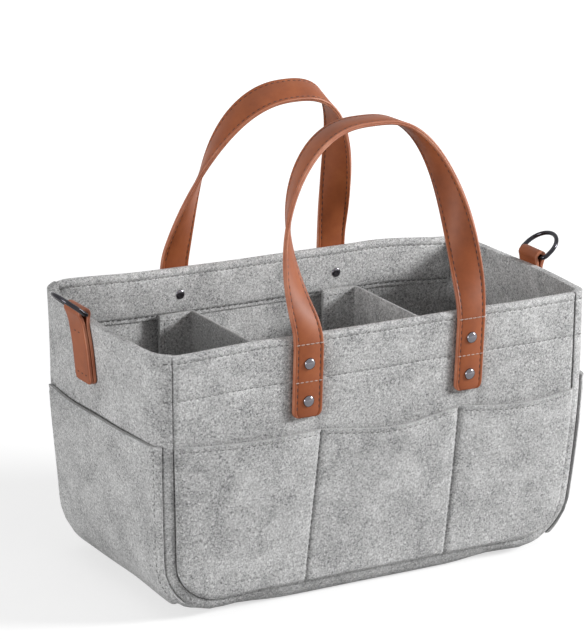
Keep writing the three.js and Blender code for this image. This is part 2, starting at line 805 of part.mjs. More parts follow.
const endHook = () =>
  endStrip(
    half.length - hookNear, half.length - hookFar, hookWidth,
    hookBottom, hookTop, longDividerPoint,
  );

const dividerLoop = () =>
  endStrip(
    rightFace + loopNear - felt.wall, rightFace + loopFar - felt.wall, fastener.loopWidth,
    loopBottom, loopTop, liningPoint,
  );

const dividerHook = () =>
  endStrip(
    rightFace + hookNear - felt.wall, rightFace + hookFar - felt.wall, hookWidth,
    hookBottom, hookTop, longDividerPoint,
  );

// Materials and assembly

const finish = {
  felt: { color: 0x9d9fa0, roughness: 0.96, metalness: 0 },
  leather: { color: 0xa2603a, roughness: 0.5, metalness: 0 },
  gunmetal: { color: 0x5b5a5c, roughness: 0.3, metalness: 1 },
  blackNickel: { color: 0x3c3c40, roughness: 0.22, metalness: 1 },
  tape: { color: 0x8a8c8e, roughness: 0.9, metalness: 0 },
};

function piece(name, geometry, look) {
  geometry.computeVertexNormals();
  const mesh = new THREE.Mesh(geometry, new THREE.MeshStandardMaterial(look));
  mesh.name = name;
  return mesh;
}

const caddy = new THREE.Group();
caddy.add(piece("gusset_strip", gussetStrip(), finish.felt));

for (const [name, side] of [["front", -1], ["back", 1]]) {
  const wall = new THREE.Group();
  wall.add(piece(name + "_panel", longPanel(side), finish.felt));
  wall.add(piece(name + "_pocket_panel", longPocket(side), finish.felt));
  for (const [legName, leg] of [["left", -1], ["right", 1]]) {
    wall.add(piece(name + "_" + legName + "_strap_end", strapEnd(side, leg), finish.leather));
  }
  for (const site of rivetSites(side)) {
    wall.add(piece(name + "_" + site.name + "_rivet", rivetBody(site), finish.gunmetal));
  }
  for (const [dividerName, x] of [["left", divider.leftX], ["right", divider.rightX]]) {
    wall.add(piece(name + "_" + dividerName + "_loop_strip", wallLoop(side, x), finish.tape));
    wall.add(piece(name + "_" + dividerName + "_hook_pad", flangeHook(side, x), finish.tape));
  }
  caddy.add(wall);
}

caddy.add(piece("front_handle", handleArch(-1), finish.leather));
caddy.add(piece("back_handle", handleArch(1), finish.leather));

for (const [name, side] of [["left", -1], ["right", 1]]) {
  caddy.add(piece(name + "_end_pocket", endPocket(side), finish.felt));
  caddy.add(piece(name + "_end_tab", endTab(side, tab.places[name]), finish.leather));
  caddy.add(piece(name + "_d_ring", dRing(side, tab.places[name]), finish.blackNickel));
}

caddy.add(piece("left_divider", crossDivider(divider.leftX), finish.felt));
caddy.add(piece("right_divider", crossDivider(divider.rightX), finish.felt));
caddy.add(piece("long_divider", longDivider(), finish.felt));
caddy.add(piece("end_loop_strip", endLoop(), finish.tape));
caddy.add(piece("end_hook_pad", endHook(), finish.tape));
caddy.add(piece("divider_loop_strip", dividerLoop(), finish.tape));
caddy.add(piece("divider_hook_pad", dividerHook(), finish.tape));

export default caddy;
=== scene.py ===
# A felt caddy with leather handles, D-rings and lift-out dividers.
# Sizes in the dictionaries are millimetres, as the maker would cut them, and become metres in each mesh.
import math

import bmesh
import bpy
from mathutils import Matrix, Vector, noise


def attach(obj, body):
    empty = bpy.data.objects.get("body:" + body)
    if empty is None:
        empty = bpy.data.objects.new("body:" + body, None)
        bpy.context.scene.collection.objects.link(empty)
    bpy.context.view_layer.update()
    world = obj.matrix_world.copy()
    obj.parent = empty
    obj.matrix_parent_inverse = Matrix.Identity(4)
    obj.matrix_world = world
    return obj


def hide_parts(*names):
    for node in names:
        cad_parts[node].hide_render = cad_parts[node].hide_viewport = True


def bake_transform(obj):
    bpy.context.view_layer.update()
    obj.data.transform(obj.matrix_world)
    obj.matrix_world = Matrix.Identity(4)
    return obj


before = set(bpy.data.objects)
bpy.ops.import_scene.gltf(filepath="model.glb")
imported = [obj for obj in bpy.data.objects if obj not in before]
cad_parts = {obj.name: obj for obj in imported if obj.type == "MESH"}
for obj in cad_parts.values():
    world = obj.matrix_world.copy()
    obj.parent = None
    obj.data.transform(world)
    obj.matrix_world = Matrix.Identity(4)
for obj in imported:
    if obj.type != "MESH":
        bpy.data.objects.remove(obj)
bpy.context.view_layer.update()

mm = 0.001
sides = {"front": -1, "back": 1}
ends = {"left": -1, "right": 1}

# The body is drawn as an upright box and then bent: x runs along it, y is its depth, z its height.
caddySet = {
    "length": 302,  # outside, at the base
    "depth": 150,
    "height": 180,
    "rimLengthGain": 18,  # the rim is longer than the base
    "rimDepthGain": 4,
    "endBow": 5,  # the walls swell at the rim
    "sideBow": 6,
    "wallZone": 15,  # what lies this near to a wall moves fully with it
    "rimTwist": 2.8,  # how far each corner of the rim rises or dips
    "rightDrop": 3.1,  # of the rim at the right end
    "levelReach": 80,  # the rim is level this far from the middle
    "backRise": 2.2,  # the back wall stands a little higher,
    "backWave": 1.5,  # less so in its middle,
    "backDip": 1.3,  # on its right
    "cornerDip": 3,  # and at its left corner
    "cornerDipReach": 16,
    "frontDip": 1.6,  # the front wall is lower on its right
    "frontDipGrows": (50, 110),  # along x
    "rightBulge": 4.6,  # of the right end, halfway up
    "lowerCorner": 32,
    "uprightCorner": 6,
    "rimCorners": {(-1, -1): 18, (-1, 1): 10, (1, -1): 7.5, (1, 1): 10},  # by side along x and y
    "rimCornerReach": 100,  # how far below the rim the corners start to open
    "endCorners": {-1: 40, 1: 35},  # the lower corners, as they lie once sewn
    "baseEdge": 12,
    "cornerLift": 2.6,  # the base's corners don't quite touch the table
    "liftGrows": (8, 30),  # by the distance from the end
    "liftFades": (45, 90),
    "leftTuck": 3.8,  # the left end stands in at its foot, most at the back
    "tuckFades": (20, 125),  # by height
    "seamLift": 3.2,  # the seams along the base lie higher than the lip is wide
    "seamLiftReach": 48,
    "wall": 3,
    "seamLip": 8,
    "seamGap": 0.8,  # the groove between the lip and a long wall
    "gap": 0.3,  # between layers that touch
    "ripple": 0.7,  # soft waves in the felt
    "rippleLength": 55,
}
halfLength = caddySet["length"] / 2
halfDepth = caddySet["depth"] / 2
rimHeight = caddySet["height"]
gap = caddySet["gap"]
seamInset = caddySet["seamLip"] + caddySet["seamGap"]


def ease(value, low, high):
    share = min(1, max(0, (value - low) / (high - low)))
    return share * share * (3 - 2 * share)


def spread(low, high, steps):
    return [low + (high - low) * i / steps for i in range(steps + 1)]


def follow(distance, wallDistance):  # how far a point swells with its wall
    return ease(abs(distance), 0, wallDistance - caddySet["wallZone"])


def swell(distance, halfWidth):  # most in the middle of a wall, nothing at its corners
    return max(0, 1 - (distance / halfWidth) ** 2)


def ripple(across, up, seed):
    place = Vector((across, up, seed * caddySet["length"])) / caddySet["rippleLength"]
    return caddySet["ripple"] * noise.noise(place)


def depthMap(x, y, z):
    side = math.copysign(1, y)
    lean = y / halfDepth * caddySet["rimDepthGain"] / 2
    bow = side * caddySet["sideBow"] * swell(x, halfLength) * follow(y, halfDepth)
    wave = side * ripple(x, z, side) * follow(y, halfDepth)
    return y + (lean + bow) * z / rimHeight + wave


def lengthMap(x, y, z):
    end = math.copysign(1, x)
    lean = x / halfLength * caddySet["rimLengthGain"] / 2
    bow = end * caddySet["endBow"] * swell(y, halfDepth) * follow(x, halfLength)
    wave = end * ripple(y, z, 2 * end) * follow(x, halfLength) * swell(y, halfDepth)
    upward = math.sin(math.pi * min(1, max(0, z / rimHeight)))
    bulge = caddySet["rightBulge"] * upward * ease(x, 0, halfLength)
    atFoot = 1 - ease(z, *caddySet["tuckFades"])
    tuck = caddySet["leftTuck"] * ease(-x, 0, halfLength) * ease(y, -halfDepth, 0) * atFoot
    return x + (lean + bow) * z / rimHeight + wave + bulge + tuck


def heightMap(x, y, z):
    twist = -math.copysign(caddySet["rimTwist"], x) * y / halfDepth
    drop = caddySet["rightDrop"] if x > 0 else 0
    atEnd = (twist - drop) * ease(abs(x), caddySet["levelReach"], halfLength)
    wave = caddySet["backWave"] * math.cos(math.tau * x / caddySet["length"])
    rightDip = caddySet["backDip"] * ease(x, 0, caddySet["levelReach"])
    cornerDip = caddySet["cornerDip"] * ease(-x, halfLength - caddySet["cornerDipReach"], halfLength)
    atBack = (caddySet["backRise"] - wave - rightDip - cornerDip) * ease(y, 0, halfDepth)
    atFront = -caddySet["frontDip"] * ease(x, *caddySet["frontDipGrows"]) * ease(-y, 0, halfDepth)
    return z + (atEnd + atBack + atFront) * z / rimHeight


def widenCorner(inA, inB, small, wide):
    # Two distances into a corner of radius small, slid round a wider one at the same depth.
    if max(inA, inB) >= wide or wide <= small:
        return inA, inB
    quarter = math.pi / 4
    if inA < small and inB < small:
        fromCentre = math.hypot(small - inA, small - inB)
        depth = small - fromCentre
        along = (math.atan2(small - inB, small - inA) - quarter) * fromCentre
    elif inA < inB:
        depth = inA
        along = small - inB - (small - depth) * quarter
    else:
        depth = inB
        along = (small - depth) * quarter + inA - small
    turn = along * quarter / ((small - depth) * quarter + wide - small) + quarter
    return wide - (wide - depth) * math.cos(turn), wide - (wide - depth) * math.sin(turn)


def softened(x, y, z):
    # The corners open towards the rim, and the base's edges are rounder than its folds.
    ways = math.copysign(1, x), math.copysign(1, y)
    inX, inY = halfLength - abs(x), halfDepth - abs(y)
    small, lower, lip = caddySet["uprightCorner"], caddySet["lowerCorner"], caddySet["seamLip"]
    nearRim = ease(z, rimHeight - caddySet["rimCornerReach"], rimHeight)
    inX, inY = widenCorner(inX, inY, small, small + (caddySet["rimCorners"][ways] - small) * nearRim)
    inX, z = widenCorner(inX, z, lower, caddySet["endCorners"][ways[0]])
    if inX > lower:
        widest = small + (caddySet["baseEdge"] - small) * ease(inX, lower, 2 * lower)
        inY, z = widenCorner(inY, z, small, widest)
    nearCorner = ease(inX, *caddySet["liftGrows"]) * (1 - ease(inX, *caddySet["liftFades"]))
    nearCorner *= 1 - ease(inY, 0, halfDepth / 2)
    z += caddySet["cornerLift"] * nearCorner * (1 - ease(z, 0, lip))
    seamLift = caddySet["seamLift"] * ease(z, 0, lip) * (1 - ease(z, lip, caddySet["seamLiftReach"]))
    z += seamLift * (1 - ease(inY, small, 2 * small))
    return ways[0] * (halfLength - inX), ways[1] * (halfDepth - inY), z


def feltPoint(x, y, z):
    x, y, z = softened(x, y, z)
    return Vector((lengthMap(x, y, z), depthMap(x, y, z), heightMap(x, y, z)))


def liningPoint(x, y, z):
    return Vector((x, depthMap(x, y, z), z))


# Mesh tools

def takeUp(piece):
    bpy.ops.object.select_all(action="DESELECT")
    piece.select_set(True)
    bpy.context.view_layer.objects.active = piece


def inEdit(piece, work):
    takeUp(piece)
    bpy.ops.object.mode_set(mode="EDIT")
    work()
    bpy.ops.object.mode_set(mode="OBJECT")


def pick(kind, test):  # selects the faces or edges whose middle passes the test, in edit mode
    bpy.ops.mesh.select_mode(type=kind)
    bpy.ops.mesh.select_all(action="DESELECT")
    cage = bmesh.from_edit_mesh(bpy.context.object.data)
    for part in cage.faces if kind == "FACE" else cage.edges:
        part.select_set(bool(test(part)))
    bmesh.update_edit_mesh(bpy.context.object.data)


def finishWith(piece, kind, **settings):
    takeUp(piece)
    made = piece.modifiers.new(kind.title(), kind)
    for name, value in settings.items():
        setattr(made, name, value)
    bpy.ops.object.modifier_apply(modifier=made.name)


def turnOut(piece):
    def work():
        bpy.ops.mesh.select_all(action="SELECT")
        bpy.ops.mesh.remove_doubles(threshold=0.01 * mm)
        bpy.ops.mesh.normals_make_consistent(inside=False)
    inEdit(piece, work)


def smooth(piece, angle=40):
    takeUp(piece)
    bpy.ops.object.shade_smooth_by_angle(angle=math.radians(angle))


def easeEdges(piece, width, angle=45):
    finishWith(
        piece, "BEVEL", width=width * mm, segments=3, limit_method="ANGLE",
        angle_limit=math.radians(angle), miter_outer="MITER_ARC", use_clamp_overlap=True,
    )


def meshPiece(name, corners, faces, kinds=None):
    data = bpy.data.meshes.new(name)
    data.from_pydata([Vector(p) * mm for p in corners], [], faces)
    for face, kind in zip(data.polygons, kinds or []):
        face.material_index = kind
    piece = bpy.data.objects.new(name, data)
    bpy.context.collection.objects.link(piece)
    return piece


def loft(name, rings, closed=False, band=False, kinds=None, capKind=0):
    # Skins a row of outlines. A band's outline runs up one face and back down the other.
    count = len(rings[0])
    faces, faceKinds = [], []
    for i in range(len(rings) if closed else len(rings) - 1):
        near, far = i * count, (i + 1) % len(rings) * count
        for j in range(count):
            k = (j + 1) % count
            faces.append((near + j, near + k, far + k, far + j))
            faceKinds.append(kinds[j] if kinds else 0)
    for first in [] if closed else (0, (len(rings) - 1) * count):
        if band:
            caps = [(j, j + 1, count - 2 - j, count - 1 - j) for j in range(count // 2 - 1)]
        else:
            caps = [tuple(range(count))]
        faces += [tuple(first + i for i in cap) for cap in caps]
        faceKinds += [capKind] * len(caps)
    piece = meshPiece(name, [p for ring in rings for p in ring], faces, faceKinds)
    turnOut(piece)
    return piece


def sheetShell(name, columns, rows, place):
    # place(column, row, face) gives a point of the sheet: face 1 is its outside and 0 its inside.
    rings = [
        [place(c, r, 1) for r in rows] + [place(c, r, 0) for r in reversed(rows)]
        for c in columns
    ]
    count = 2 * len(rows)
    cutEdges = [1 if j in (len(rows) - 1, count - 1) else 0 for j in range(count)]
    return loft(name, rings, band=True, kinds=cutEdges, capKind=1)


# Nodes and colours

def colour(text):  # an sRGB hex value as Blender's linear colour
    parts = [int(text[i:i + 2], 16) / 255 for i in (1, 3, 5)]
    return [c / 12.92 if c <= 0.04045 else ((c + 0.055) / 1.055) ** 2.4 for c in parts] + [1]


def addNode(tree, kind, links=None, **settings):
    made = tree.nodes.new(kind)
    for name, value in settings.items():
        setattr(made, name, value)
    for socket, value in (links or {}).items():
        if isinstance(value, bpy.types.NodeSocket):
            tree.links.new(value, made.inputs[socket])
        else:
            made.inputs[socket].default_value = value
    return made


def newMaterial(name, surface):
    # Gives the material, its nodes, its shader and the socket that says where on the piece a point lies.
    material = bpy.data.materials.new(name)
    material.use_nodes = True
    tree = material.node_tree
    shader = tree.nodes["Principled BSDF"]
    for socket, value in surface.items():
        shader.inputs[socket].default_value = value
    place = addNode(tree, "ShaderNodeTexCoord").outputs["Object"]
    return material, tree, shader, place


def perMm(size):  # a pattern's scale from its size in millimetres
    return 1 / (size * mm)


def addNoise(tree, place, size, detail, roughness, distortion=0):
    return addNode(tree, "ShaderNodeTexNoise", {
        "Vector": place, "Scale": perMm(size), "Detail": detail,
        "Roughness": roughness, "Distortion": distortion,
    }).outputs[0]


def addMath(tree, operation, *values):
    return addNode(tree, "ShaderNodeMath", dict(enumerate(values)), operation=operation).outputs[0]


def addTones(tree, shader, level, stops):
    ramp = addNode(tree, "ShaderNodeValToRGB", {"Fac": level})
    marks = ramp.color_ramp.elements
    marks[0].position, marks[0].color = stops[0][0], colour(stops[0][1])
    marks[1].position, marks[1].color = stops[-1][0], colour(stops[-1][1])
    for place, text in stops[1:-1]:
        marks.new(place).color = colour(text)
    tree.links.new(ramp.outputs["Color"], shader.inputs["Base Color"])


def mixTones(tree, shader, share, first, second):
    mix = addNode(tree, "ShaderNodeMix", {"Factor": share, "A": first, "B": second}, data_type="RGBA")
    tree.links.new(mix.outputs["Result"], shader.inputs["Base Color"])


def addBump(tree, shader, height, strength, depth):
    bump = addNode(tree, "ShaderNodeBump", {"Strength": strength, "Distance": depth * mm, "Height": height})
    tree.links.new(bump.outputs["Normal"], shader.inputs["Normal"])


# Pressed polyester felt in mixed greys: matt, with light and dark fibres that clump into flecks and clouds.
feltSet = {
    "surface": {"Roughness": 0.95, "Specular IOR Level": 0.15, "Sheen Weight": 0.12, "Sheen Roughness": 0.6},
    "flecks": [(0.34, "#646465"), (0.43, "#989898"), (0.52, "#bcbcbc"), (0.64, "#e1e1e0")],
    "edgeFlecks": [(0.3, "#868686"), (0.5, "#aaaaaa"), (0.7, "#cbcbcb")],
    "fleck": (1.2, 5, 0.72, 0.9),  # of each noise: size, detail, roughness and distortion
    "cloud": (24, 3, 0.6, 0.5),
    "hair": (0.8, 3, 0.7, 2.5),
    "cloudShare": 0.24,
    "bump": (0.8, 0.35),  # strength and depth
}


def feltMaterial(name, flecks):
    material, tree, shader, place = newMaterial(name, feltSet["surface"])
    fleck, cloud, hair = [addNoise(tree, place, *feltSet[kind]) for kind in ("fleck", "cloud", "hair")]
    share = feltSet["cloudShare"]
    clouded = addMath(tree, "MULTIPLY_ADD", cloud, share, -share / 2)
    addTones(tree, shader, addMath(tree, "ADD", fleck, clouded), flecks)
    addBump(tree, shader, addMath(tree, "ADD", hair, fleck), *feltSet["bump"])
    return material


# Vegetable-look cow leather, dyed tan and lightly polished: a fine pebble grain with slow changes of tone.
leatherSet = {
    "surface": {"Specular IOR Level": 0.35, "Coat Weight": 0.05, "Coat Roughness": 0.35},
    "tones": [(0.25, "#7c3f1f"), (0.5, "#8d4a26"), (0.75, "#9a552e")],
    "edgeTones": [(0.25, "#935238"), (0.5, "#a8684c"), (0.75, "#b87d62")],
    "roughness": 0.55,
    "edgeRoughness": 0.5,
    "slow": (18, 4, 0.6),
    "pore": 0.55,
    "bump": (0.5, 0.08),
}


def leatherMaterial(name, tones, roughness):
    material, tree, shader, place = newMaterial(name, {**leatherSet["surface"], "Roughness": roughness})
    addTones(tree, shader, addNoise(tree, place, *leatherSet["slow"]), tones)
    pores = addNode(tree, "ShaderNodeTexVoronoi", {"Vector": place, "Scale": perMm(leatherSet["pore"])})
    addBump(tree, shader, pores.outputs["Distance"], *leatherSet["bump"])
    return material


# Bonded polyester thread, twisted from three plies: a soft gloss with fine slanting ridges.
threadSet = {
    # On the felt the thread's grey is partly its own tone and partly painted shade, darker for the stitches
    # sunk into their holes; the same thread crossing the leather is pale.
    "felt": "#747473",
    "leather": "#4a2113",
    "onLeather": "#b9a196",
    "roughness": 0.55,
    "ply": 2.7,  # the wave's size, which puts the ridges a millimetre apart
    "shade": 0.6,  # painted shade between the plies, as a share of the tone
    "bump": (0.6, 0.1),
}


def threadMaterial(name, tone):
    surface = {"Base Color": colour(tone), "Roughness": threadSet["roughness"]}
    material, tree, shader, place = newMaterial(name, surface)
    plies = addNode(tree, "ShaderNodeTexWave", {
        "Vector": place, "Scale": perMm(threadSet["ply"]),
    }, bands_direction="DIAGONAL").outputs[0]
    # painted shade in the grooves between the plies
    shaded = [threadSet["shade"] * c for c in colour(tone)[:3]] + [1]
    mixTones(tree, shader, plies, shaded, colour(tone))
    addBump(tree, shader, plies, *threadSet["bump"])
    return material


# Plated metal: a mirror finish with faint polishing marks and a little wear in its gloss.
metalSet = {
    "gunmetal": ("#77757a", 0.16),  # tone and roughness
    "blackNickel": ("#39383c", 0.12),
    "marks": (1.4, 4, 0.6),
    "wear": (-0.06, 0.1),  # what the marks add to the roughness
}


def metalMaterial(name, tone, roughness):
    surface = {"Base Color": colour(tone), "Metallic": 1, "Roughness": roughness}
    material, tree, shader, place = newMaterial(name, surface)
    low, high = metalSet["wear"]
    gloss = addNode(tree, "ShaderNodeMapRange", {
        "Value": addNoise(tree, place, *metalSet["marks"]),
        "To Min": roughness + low, "To Max": roughness + high,
    })
    tree.links.new(gloss.outputs["Result"], shader.inputs["Roughness"])
    return material


# Woven hook-and-loop tape: rows of tiny loops or hooks, a little over a millimetre apart.
tapeSet = {
    "tone": "#7f8183",
    "deep": "#5d5f62",
    "roughness": 0.85,
    "row": 1.3,
    "unevenness": 0.35,
    "bump": (0.8, 0.4),
}


def tapeMaterial(name):
    material, tree, shader, place = newMaterial(name, {"Roughness": tapeSet["roughness"]})
    rows = addNode(tree, "ShaderNodeTexVoronoi", {
        "Vector": place, "Scale": perMm(tapeSet["row"]), "Randomness": tapeSet["unevenness"],
    }).outputs["Distance"]
    mixTones(tree, shader, rows, colour(tapeSet["tone"]), colour(tapeSet["deep"]))
    addBump(tree, shader, rows, *tapeSet["bump"])
    return material


felt = feltMaterial("pressedFelt", feltSet["flecks"])
feltEdge = feltMaterial("cutFeltEdge", feltSet["edgeFlecks"])
leather = leatherMaterial("polishedLeather", leatherSet["tones"], leatherSet["roughness"])
leatherEdge = leatherMaterial("paintedLeatherEdge", leatherSet["edgeTones"], leatherSet["edgeRoughness"])
# the felt's thread: grey with painted shade of its sunk stitches
feltThreadWithPaintedShade = threadMaterial("greyThreadPaintedShade", threadSet["felt"])
leatherThread = threadMaterial("brownTwistedThread", threadSet["leather"])
crossThread = threadMaterial("paleTwistedThread", threadSet["onLeather"])
gunmetal = metalMaterial("platedGunmetal", *metalSet["gunmetal"])
blackNickel = metalMaterial("platedBlackNickel", *metalSet["blackNickel"])
tape = tapeMaterial("wovenFastenerTape")
print("materials made")


def dress(piece, materials, body=None, nodes=()):
    for material in materials:
        piece.data.materials.append(material)
    if body:
        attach(piece, body)
    if nodes:
        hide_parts(*nodes)


# Stitches: one is modelled, and each row is made of copies of it joined into one piece.
stitchSet = {
    "pitch": 4.2,
    "crossPitch": 3.6,
    "length": 3.3,
    "radius": 0.42,
    "flatness": 0.8,
    "dive": 0.9,  # at both ends, so that it looks pulled into the surface
}


def modelStitch():
    bpy.ops.object.select_all(action="DESELECT")
    bpy.ops.mesh.primitive_uv_sphere_add(segments=6, ring_count=5, radius=1, rotation=(0, math.pi / 2, 0))
    stitch = bpy.context.object
    bpy.ops.object.transform_apply(location=True, rotation=True, scale=True)
    corners = [v.co.copy() for v in stitch.data.vertices]
    faces = [tuple(p.vertices) for p in stitch.data.polygons]
    bpy.data.objects.remove(stitch)
    return corners, faces


stitchCorners, stitchFaces = modelStitch()


def stitchesAt(name, places, material, body=None):
    # Each place is (middle, direction of the thread, way out of the surface).
    radius, half = stitchSet["radius"], stitchSet["length"] / 2
    corners, faces = [], []
    for middle, along, out in places:
        along = along.normalized()
        out = (out - along * out.dot(along)).normalized()
        across = out.cross(along)
        first = len(corners)
        for c in stitchCorners:
            dive = -radius * stitchSet["dive"] * c.x ** 2
            rise = c.z * radius * stitchSet["flatness"] + dive
            corners.append(middle + along * (c.x * half) + across * (c.y * radius) + out * rise)
        faces += [tuple(first + i for i in face) for face in stitchFaces]
    piece = meshPiece(name, corners, faces)
    turnOut(piece)
    smooth(piece, 80)
    dress(piece, [material], body)
    return piece


def runLengths(points):  # how far along the line each of its points lies
    lengths = [0]
    for a, b in zip(points, points[1:]):
        lengths.append(lengths[-1] + (b - a).length)
    return lengths


def rowAlong(points, outs, pitch=stitchSet["pitch"]):
    # Stitches spaced evenly along a line of points. There is one way out of the surface for all or for each.
    if isinstance(outs, Vector):
        outs = [outs] * len(points)
    lengths = runLengths(points)
    count = max(1, round(lengths[-1] / pitch))
    places = []
    i = 0
    for n in range(count):
        target = lengths[-1] * (n + 0.5) / count
        while lengths[i + 1] < target:
            i += 1
        share = (target - lengths[i]) / (lengths[i + 1] - lengths[i])
        middle = points[i].lerp(points[i + 1], share)
        places.append((middle, points[i + 1] - points[i], outs[i].lerp(outs[i + 1], share)))
    return places


def dentAt(distance, width):
    return math.exp(-(distance / width) ** 2)


# Long walls: one sheet each, its rim folded inside as a hem and stitched twice.
wallSet = {
    "column": 6,
    "columnGap": 1.5,
    "cornerColumns": 9,
    "row": 11,
    "cornerShares": (0, 0.02, 0.06, 0.13, 0.3, 0.55, 0.8),  # rows up the rounded corner, closest at the seam
    "aboveCorner": 2,
    "hem": 32.8,
    "rowEnds": (1.5, 1),  # short of the body's end outside, and of the seam inside
    "rowsBelowRim": (5, 30),  # the two stitch rows
    "dent": 0.7,
    "dentWidth": 0.8,
    "dentSteps": (-2, -1, -0.5, 0, 0.5, 1, 2),  # in widths, round each stitch row
    "rimSteps": 8,
    "cutEdge": 0.8,
    "hemPress": 1.6,  # the hem's lower edge is sewn flat
    "hemPressReach": 5,
    "endPress": 1.4,  # and so are its two ends
    "seamSink": 1,  # the seams round the long walls lie deep
    "seamWidth": 1.2,
    "patchDepth": 0.5,  # the felt is pressed in under the straps
    "patchStep": 0.4,
}


def panelBottom(x):
    radius = caddySet["lowerCorner"] - seamInset
    past = max(0, abs(x) - (halfLength - seamInset - radius))
    return seamInset + radius - math.sqrt(max(0, radius ** 2 - past ** 2))


def panelColumns():
    reach = halfLength - seamInset
    radius = caddySet["lowerCorner"] - seamInset
    quarter = spread(0, math.pi / 2, wallSet["cornerColumns"])
    corner = [reach - radius + radius * math.sin(a) for a in quarter[1:]]
    middle = spread(radius - reach, reach - radius, round(2 * (reach - radius) / wallSet["column"]))
    half = strapSet["width"] / 2
    legs = [legAt(name, leg) for name in handleSet for leg in (-1, 1)]
    edges = [x + way * half for x in legs for way in (-1, 1)]
    near = [x + step for x in edges for step in (-wallSet["patchStep"], wallSet["patchStep"])]
    kept = [x for x in middle if all(abs(x - n) > wallSet["columnGap"] for n in near)]
    return [-x for x in reversed(corner)] + sorted(kept + near) + corner


def patchAt(x, side):
    name = "front" if side < 0 else "back"
    away = min(abs(x - legAt(name, leg)) for leg in (-1, 1))
    return wallSet["patchDepth"] if away < strapSet["width"] / 2 else 0


def wallDent(below):
    return wallSet["dent"] * sum(dentAt(below - row, wallSet["dentWidth"]) for row in wallSet["rowsBelowRim"])


def wallHeights(low, high):
    # Even heights, with more of them round each stitch row.
    heights = spread(low, high, round((high - low) / wallSet["row"]))
    steps = [wallSet["dentWidth"] * s for s in wallSet["dentSteps"]]
    near = [rimHeight - row + step for row in wallSet["rowsBelowRim"] for step in steps]
    kept = [z for z in heights if all(abs(z - n) > wallSet["dentWidth"] for n in near)]
    return sorted(kept + [z for z in near if low < z < high])


def makeWall(name, side):
    wall = caddySet["wall"]
    rimCentre = rimHeight - wall
    upright = caddySet["lowerCorner"] + wallSet["aboveCorner"]
    hemLow = rimHeight - wallSet["hem"]
    slit = gap / 3
    sink = lambda distance: wallSet["seamSink"] * dentAt(distance, wallSet["seamWidth"])

    def facesAt(x):
        bottom = panelBottom(x)
        fromSeam = halfLength - seamInset - abs(x)
        thinner = wallSet["endPress"] * (1 - ease(fromSeam, 0, 2 * wall))
        atSide = sink(fromSeam) + patchAt(x, side)
        outer, inner = [], []
        for share in wallSet["cornerShares"]:
            z = bottom + (upright - bottom) * share
            outer.append((max(atSide, sink(z - bottom)), z))
            inner.append((wall - slit, z))
        for z in wallHeights(upright, rimCentre):
            outer.append((max(atSide, wallDent(rimHeight - z)), z))
            inner.append((wall - slit, z))
        for a in spread(math.pi, 0, wallSet["rimSteps"])[1:-1]:
            reach = wall - thinner * (a < math.pi / 2)
            outer.append((wall + reach * math.cos(a), rimCentre + wall * math.sin(a)))
            inner.append((wall + slit * math.cos(a), rimCentre + slit * math.sin(a)))
        for z in reversed(wallHeights(hemLow, rimCentre)):
            pressed = wallSet["hemPress"] * (1 - ease(z, hemLow, hemLow + wallSet["hemPressReach"]))
            outer.append((2 * wall - max(pressed, thinner) - wallDent(rimHeight - z), z))
            inner.append((wall + slit, z))
        return outer, inner

    rings = []
    for x in panelColumns():
        outer, inner = facesAt(x)
        rings.append([feltPoint(x, side * (halfDepth - d), z) for d, z in outer + inner[::-1]])
    count = len(rings[0])
    cutEdges = [1 if j in (count // 2 - 1, count - 1) else 0 for j in range(count)]
    piece = loft(name + "_felt", rings, band=True, kinds=cutEdges, capKind=1)
    easeEdges(piece, wallSet["cutEdge"])
    smooth(piece)
    dress(piece, [felt, feltEdge], "caddy_body", [name])


# The gusset: one strip for both ends and the base, turned onto the front and the back as a lip.
gussetSet = {
    "cornerSegments": 10,
    "foldSegments": 4,
    "slice": 11,
    "above": 20,
    "endSlices": 3,  # the rounded corners have no slices of their own
    "facing": 0.9,  # a normal's part along an axis, of faces that look that way
    "rimWall": 4.6,  # the rim of the ends is turned in and pressed
    "rimWallReach": 26,
}


def roundEdges(radius, segments):  # those picked, in edit mode
    bpy.ops.mesh.bevel(offset=radius * mm, segments=segments, affect="EDGES")


def slicesAt(places, normal):
    for place in places:
        bpy.ops.mesh.select_all(action="SELECT")
        bpy.ops.mesh.bisect(plane_co=[n * place * mm for n in normal], plane_no=normal)


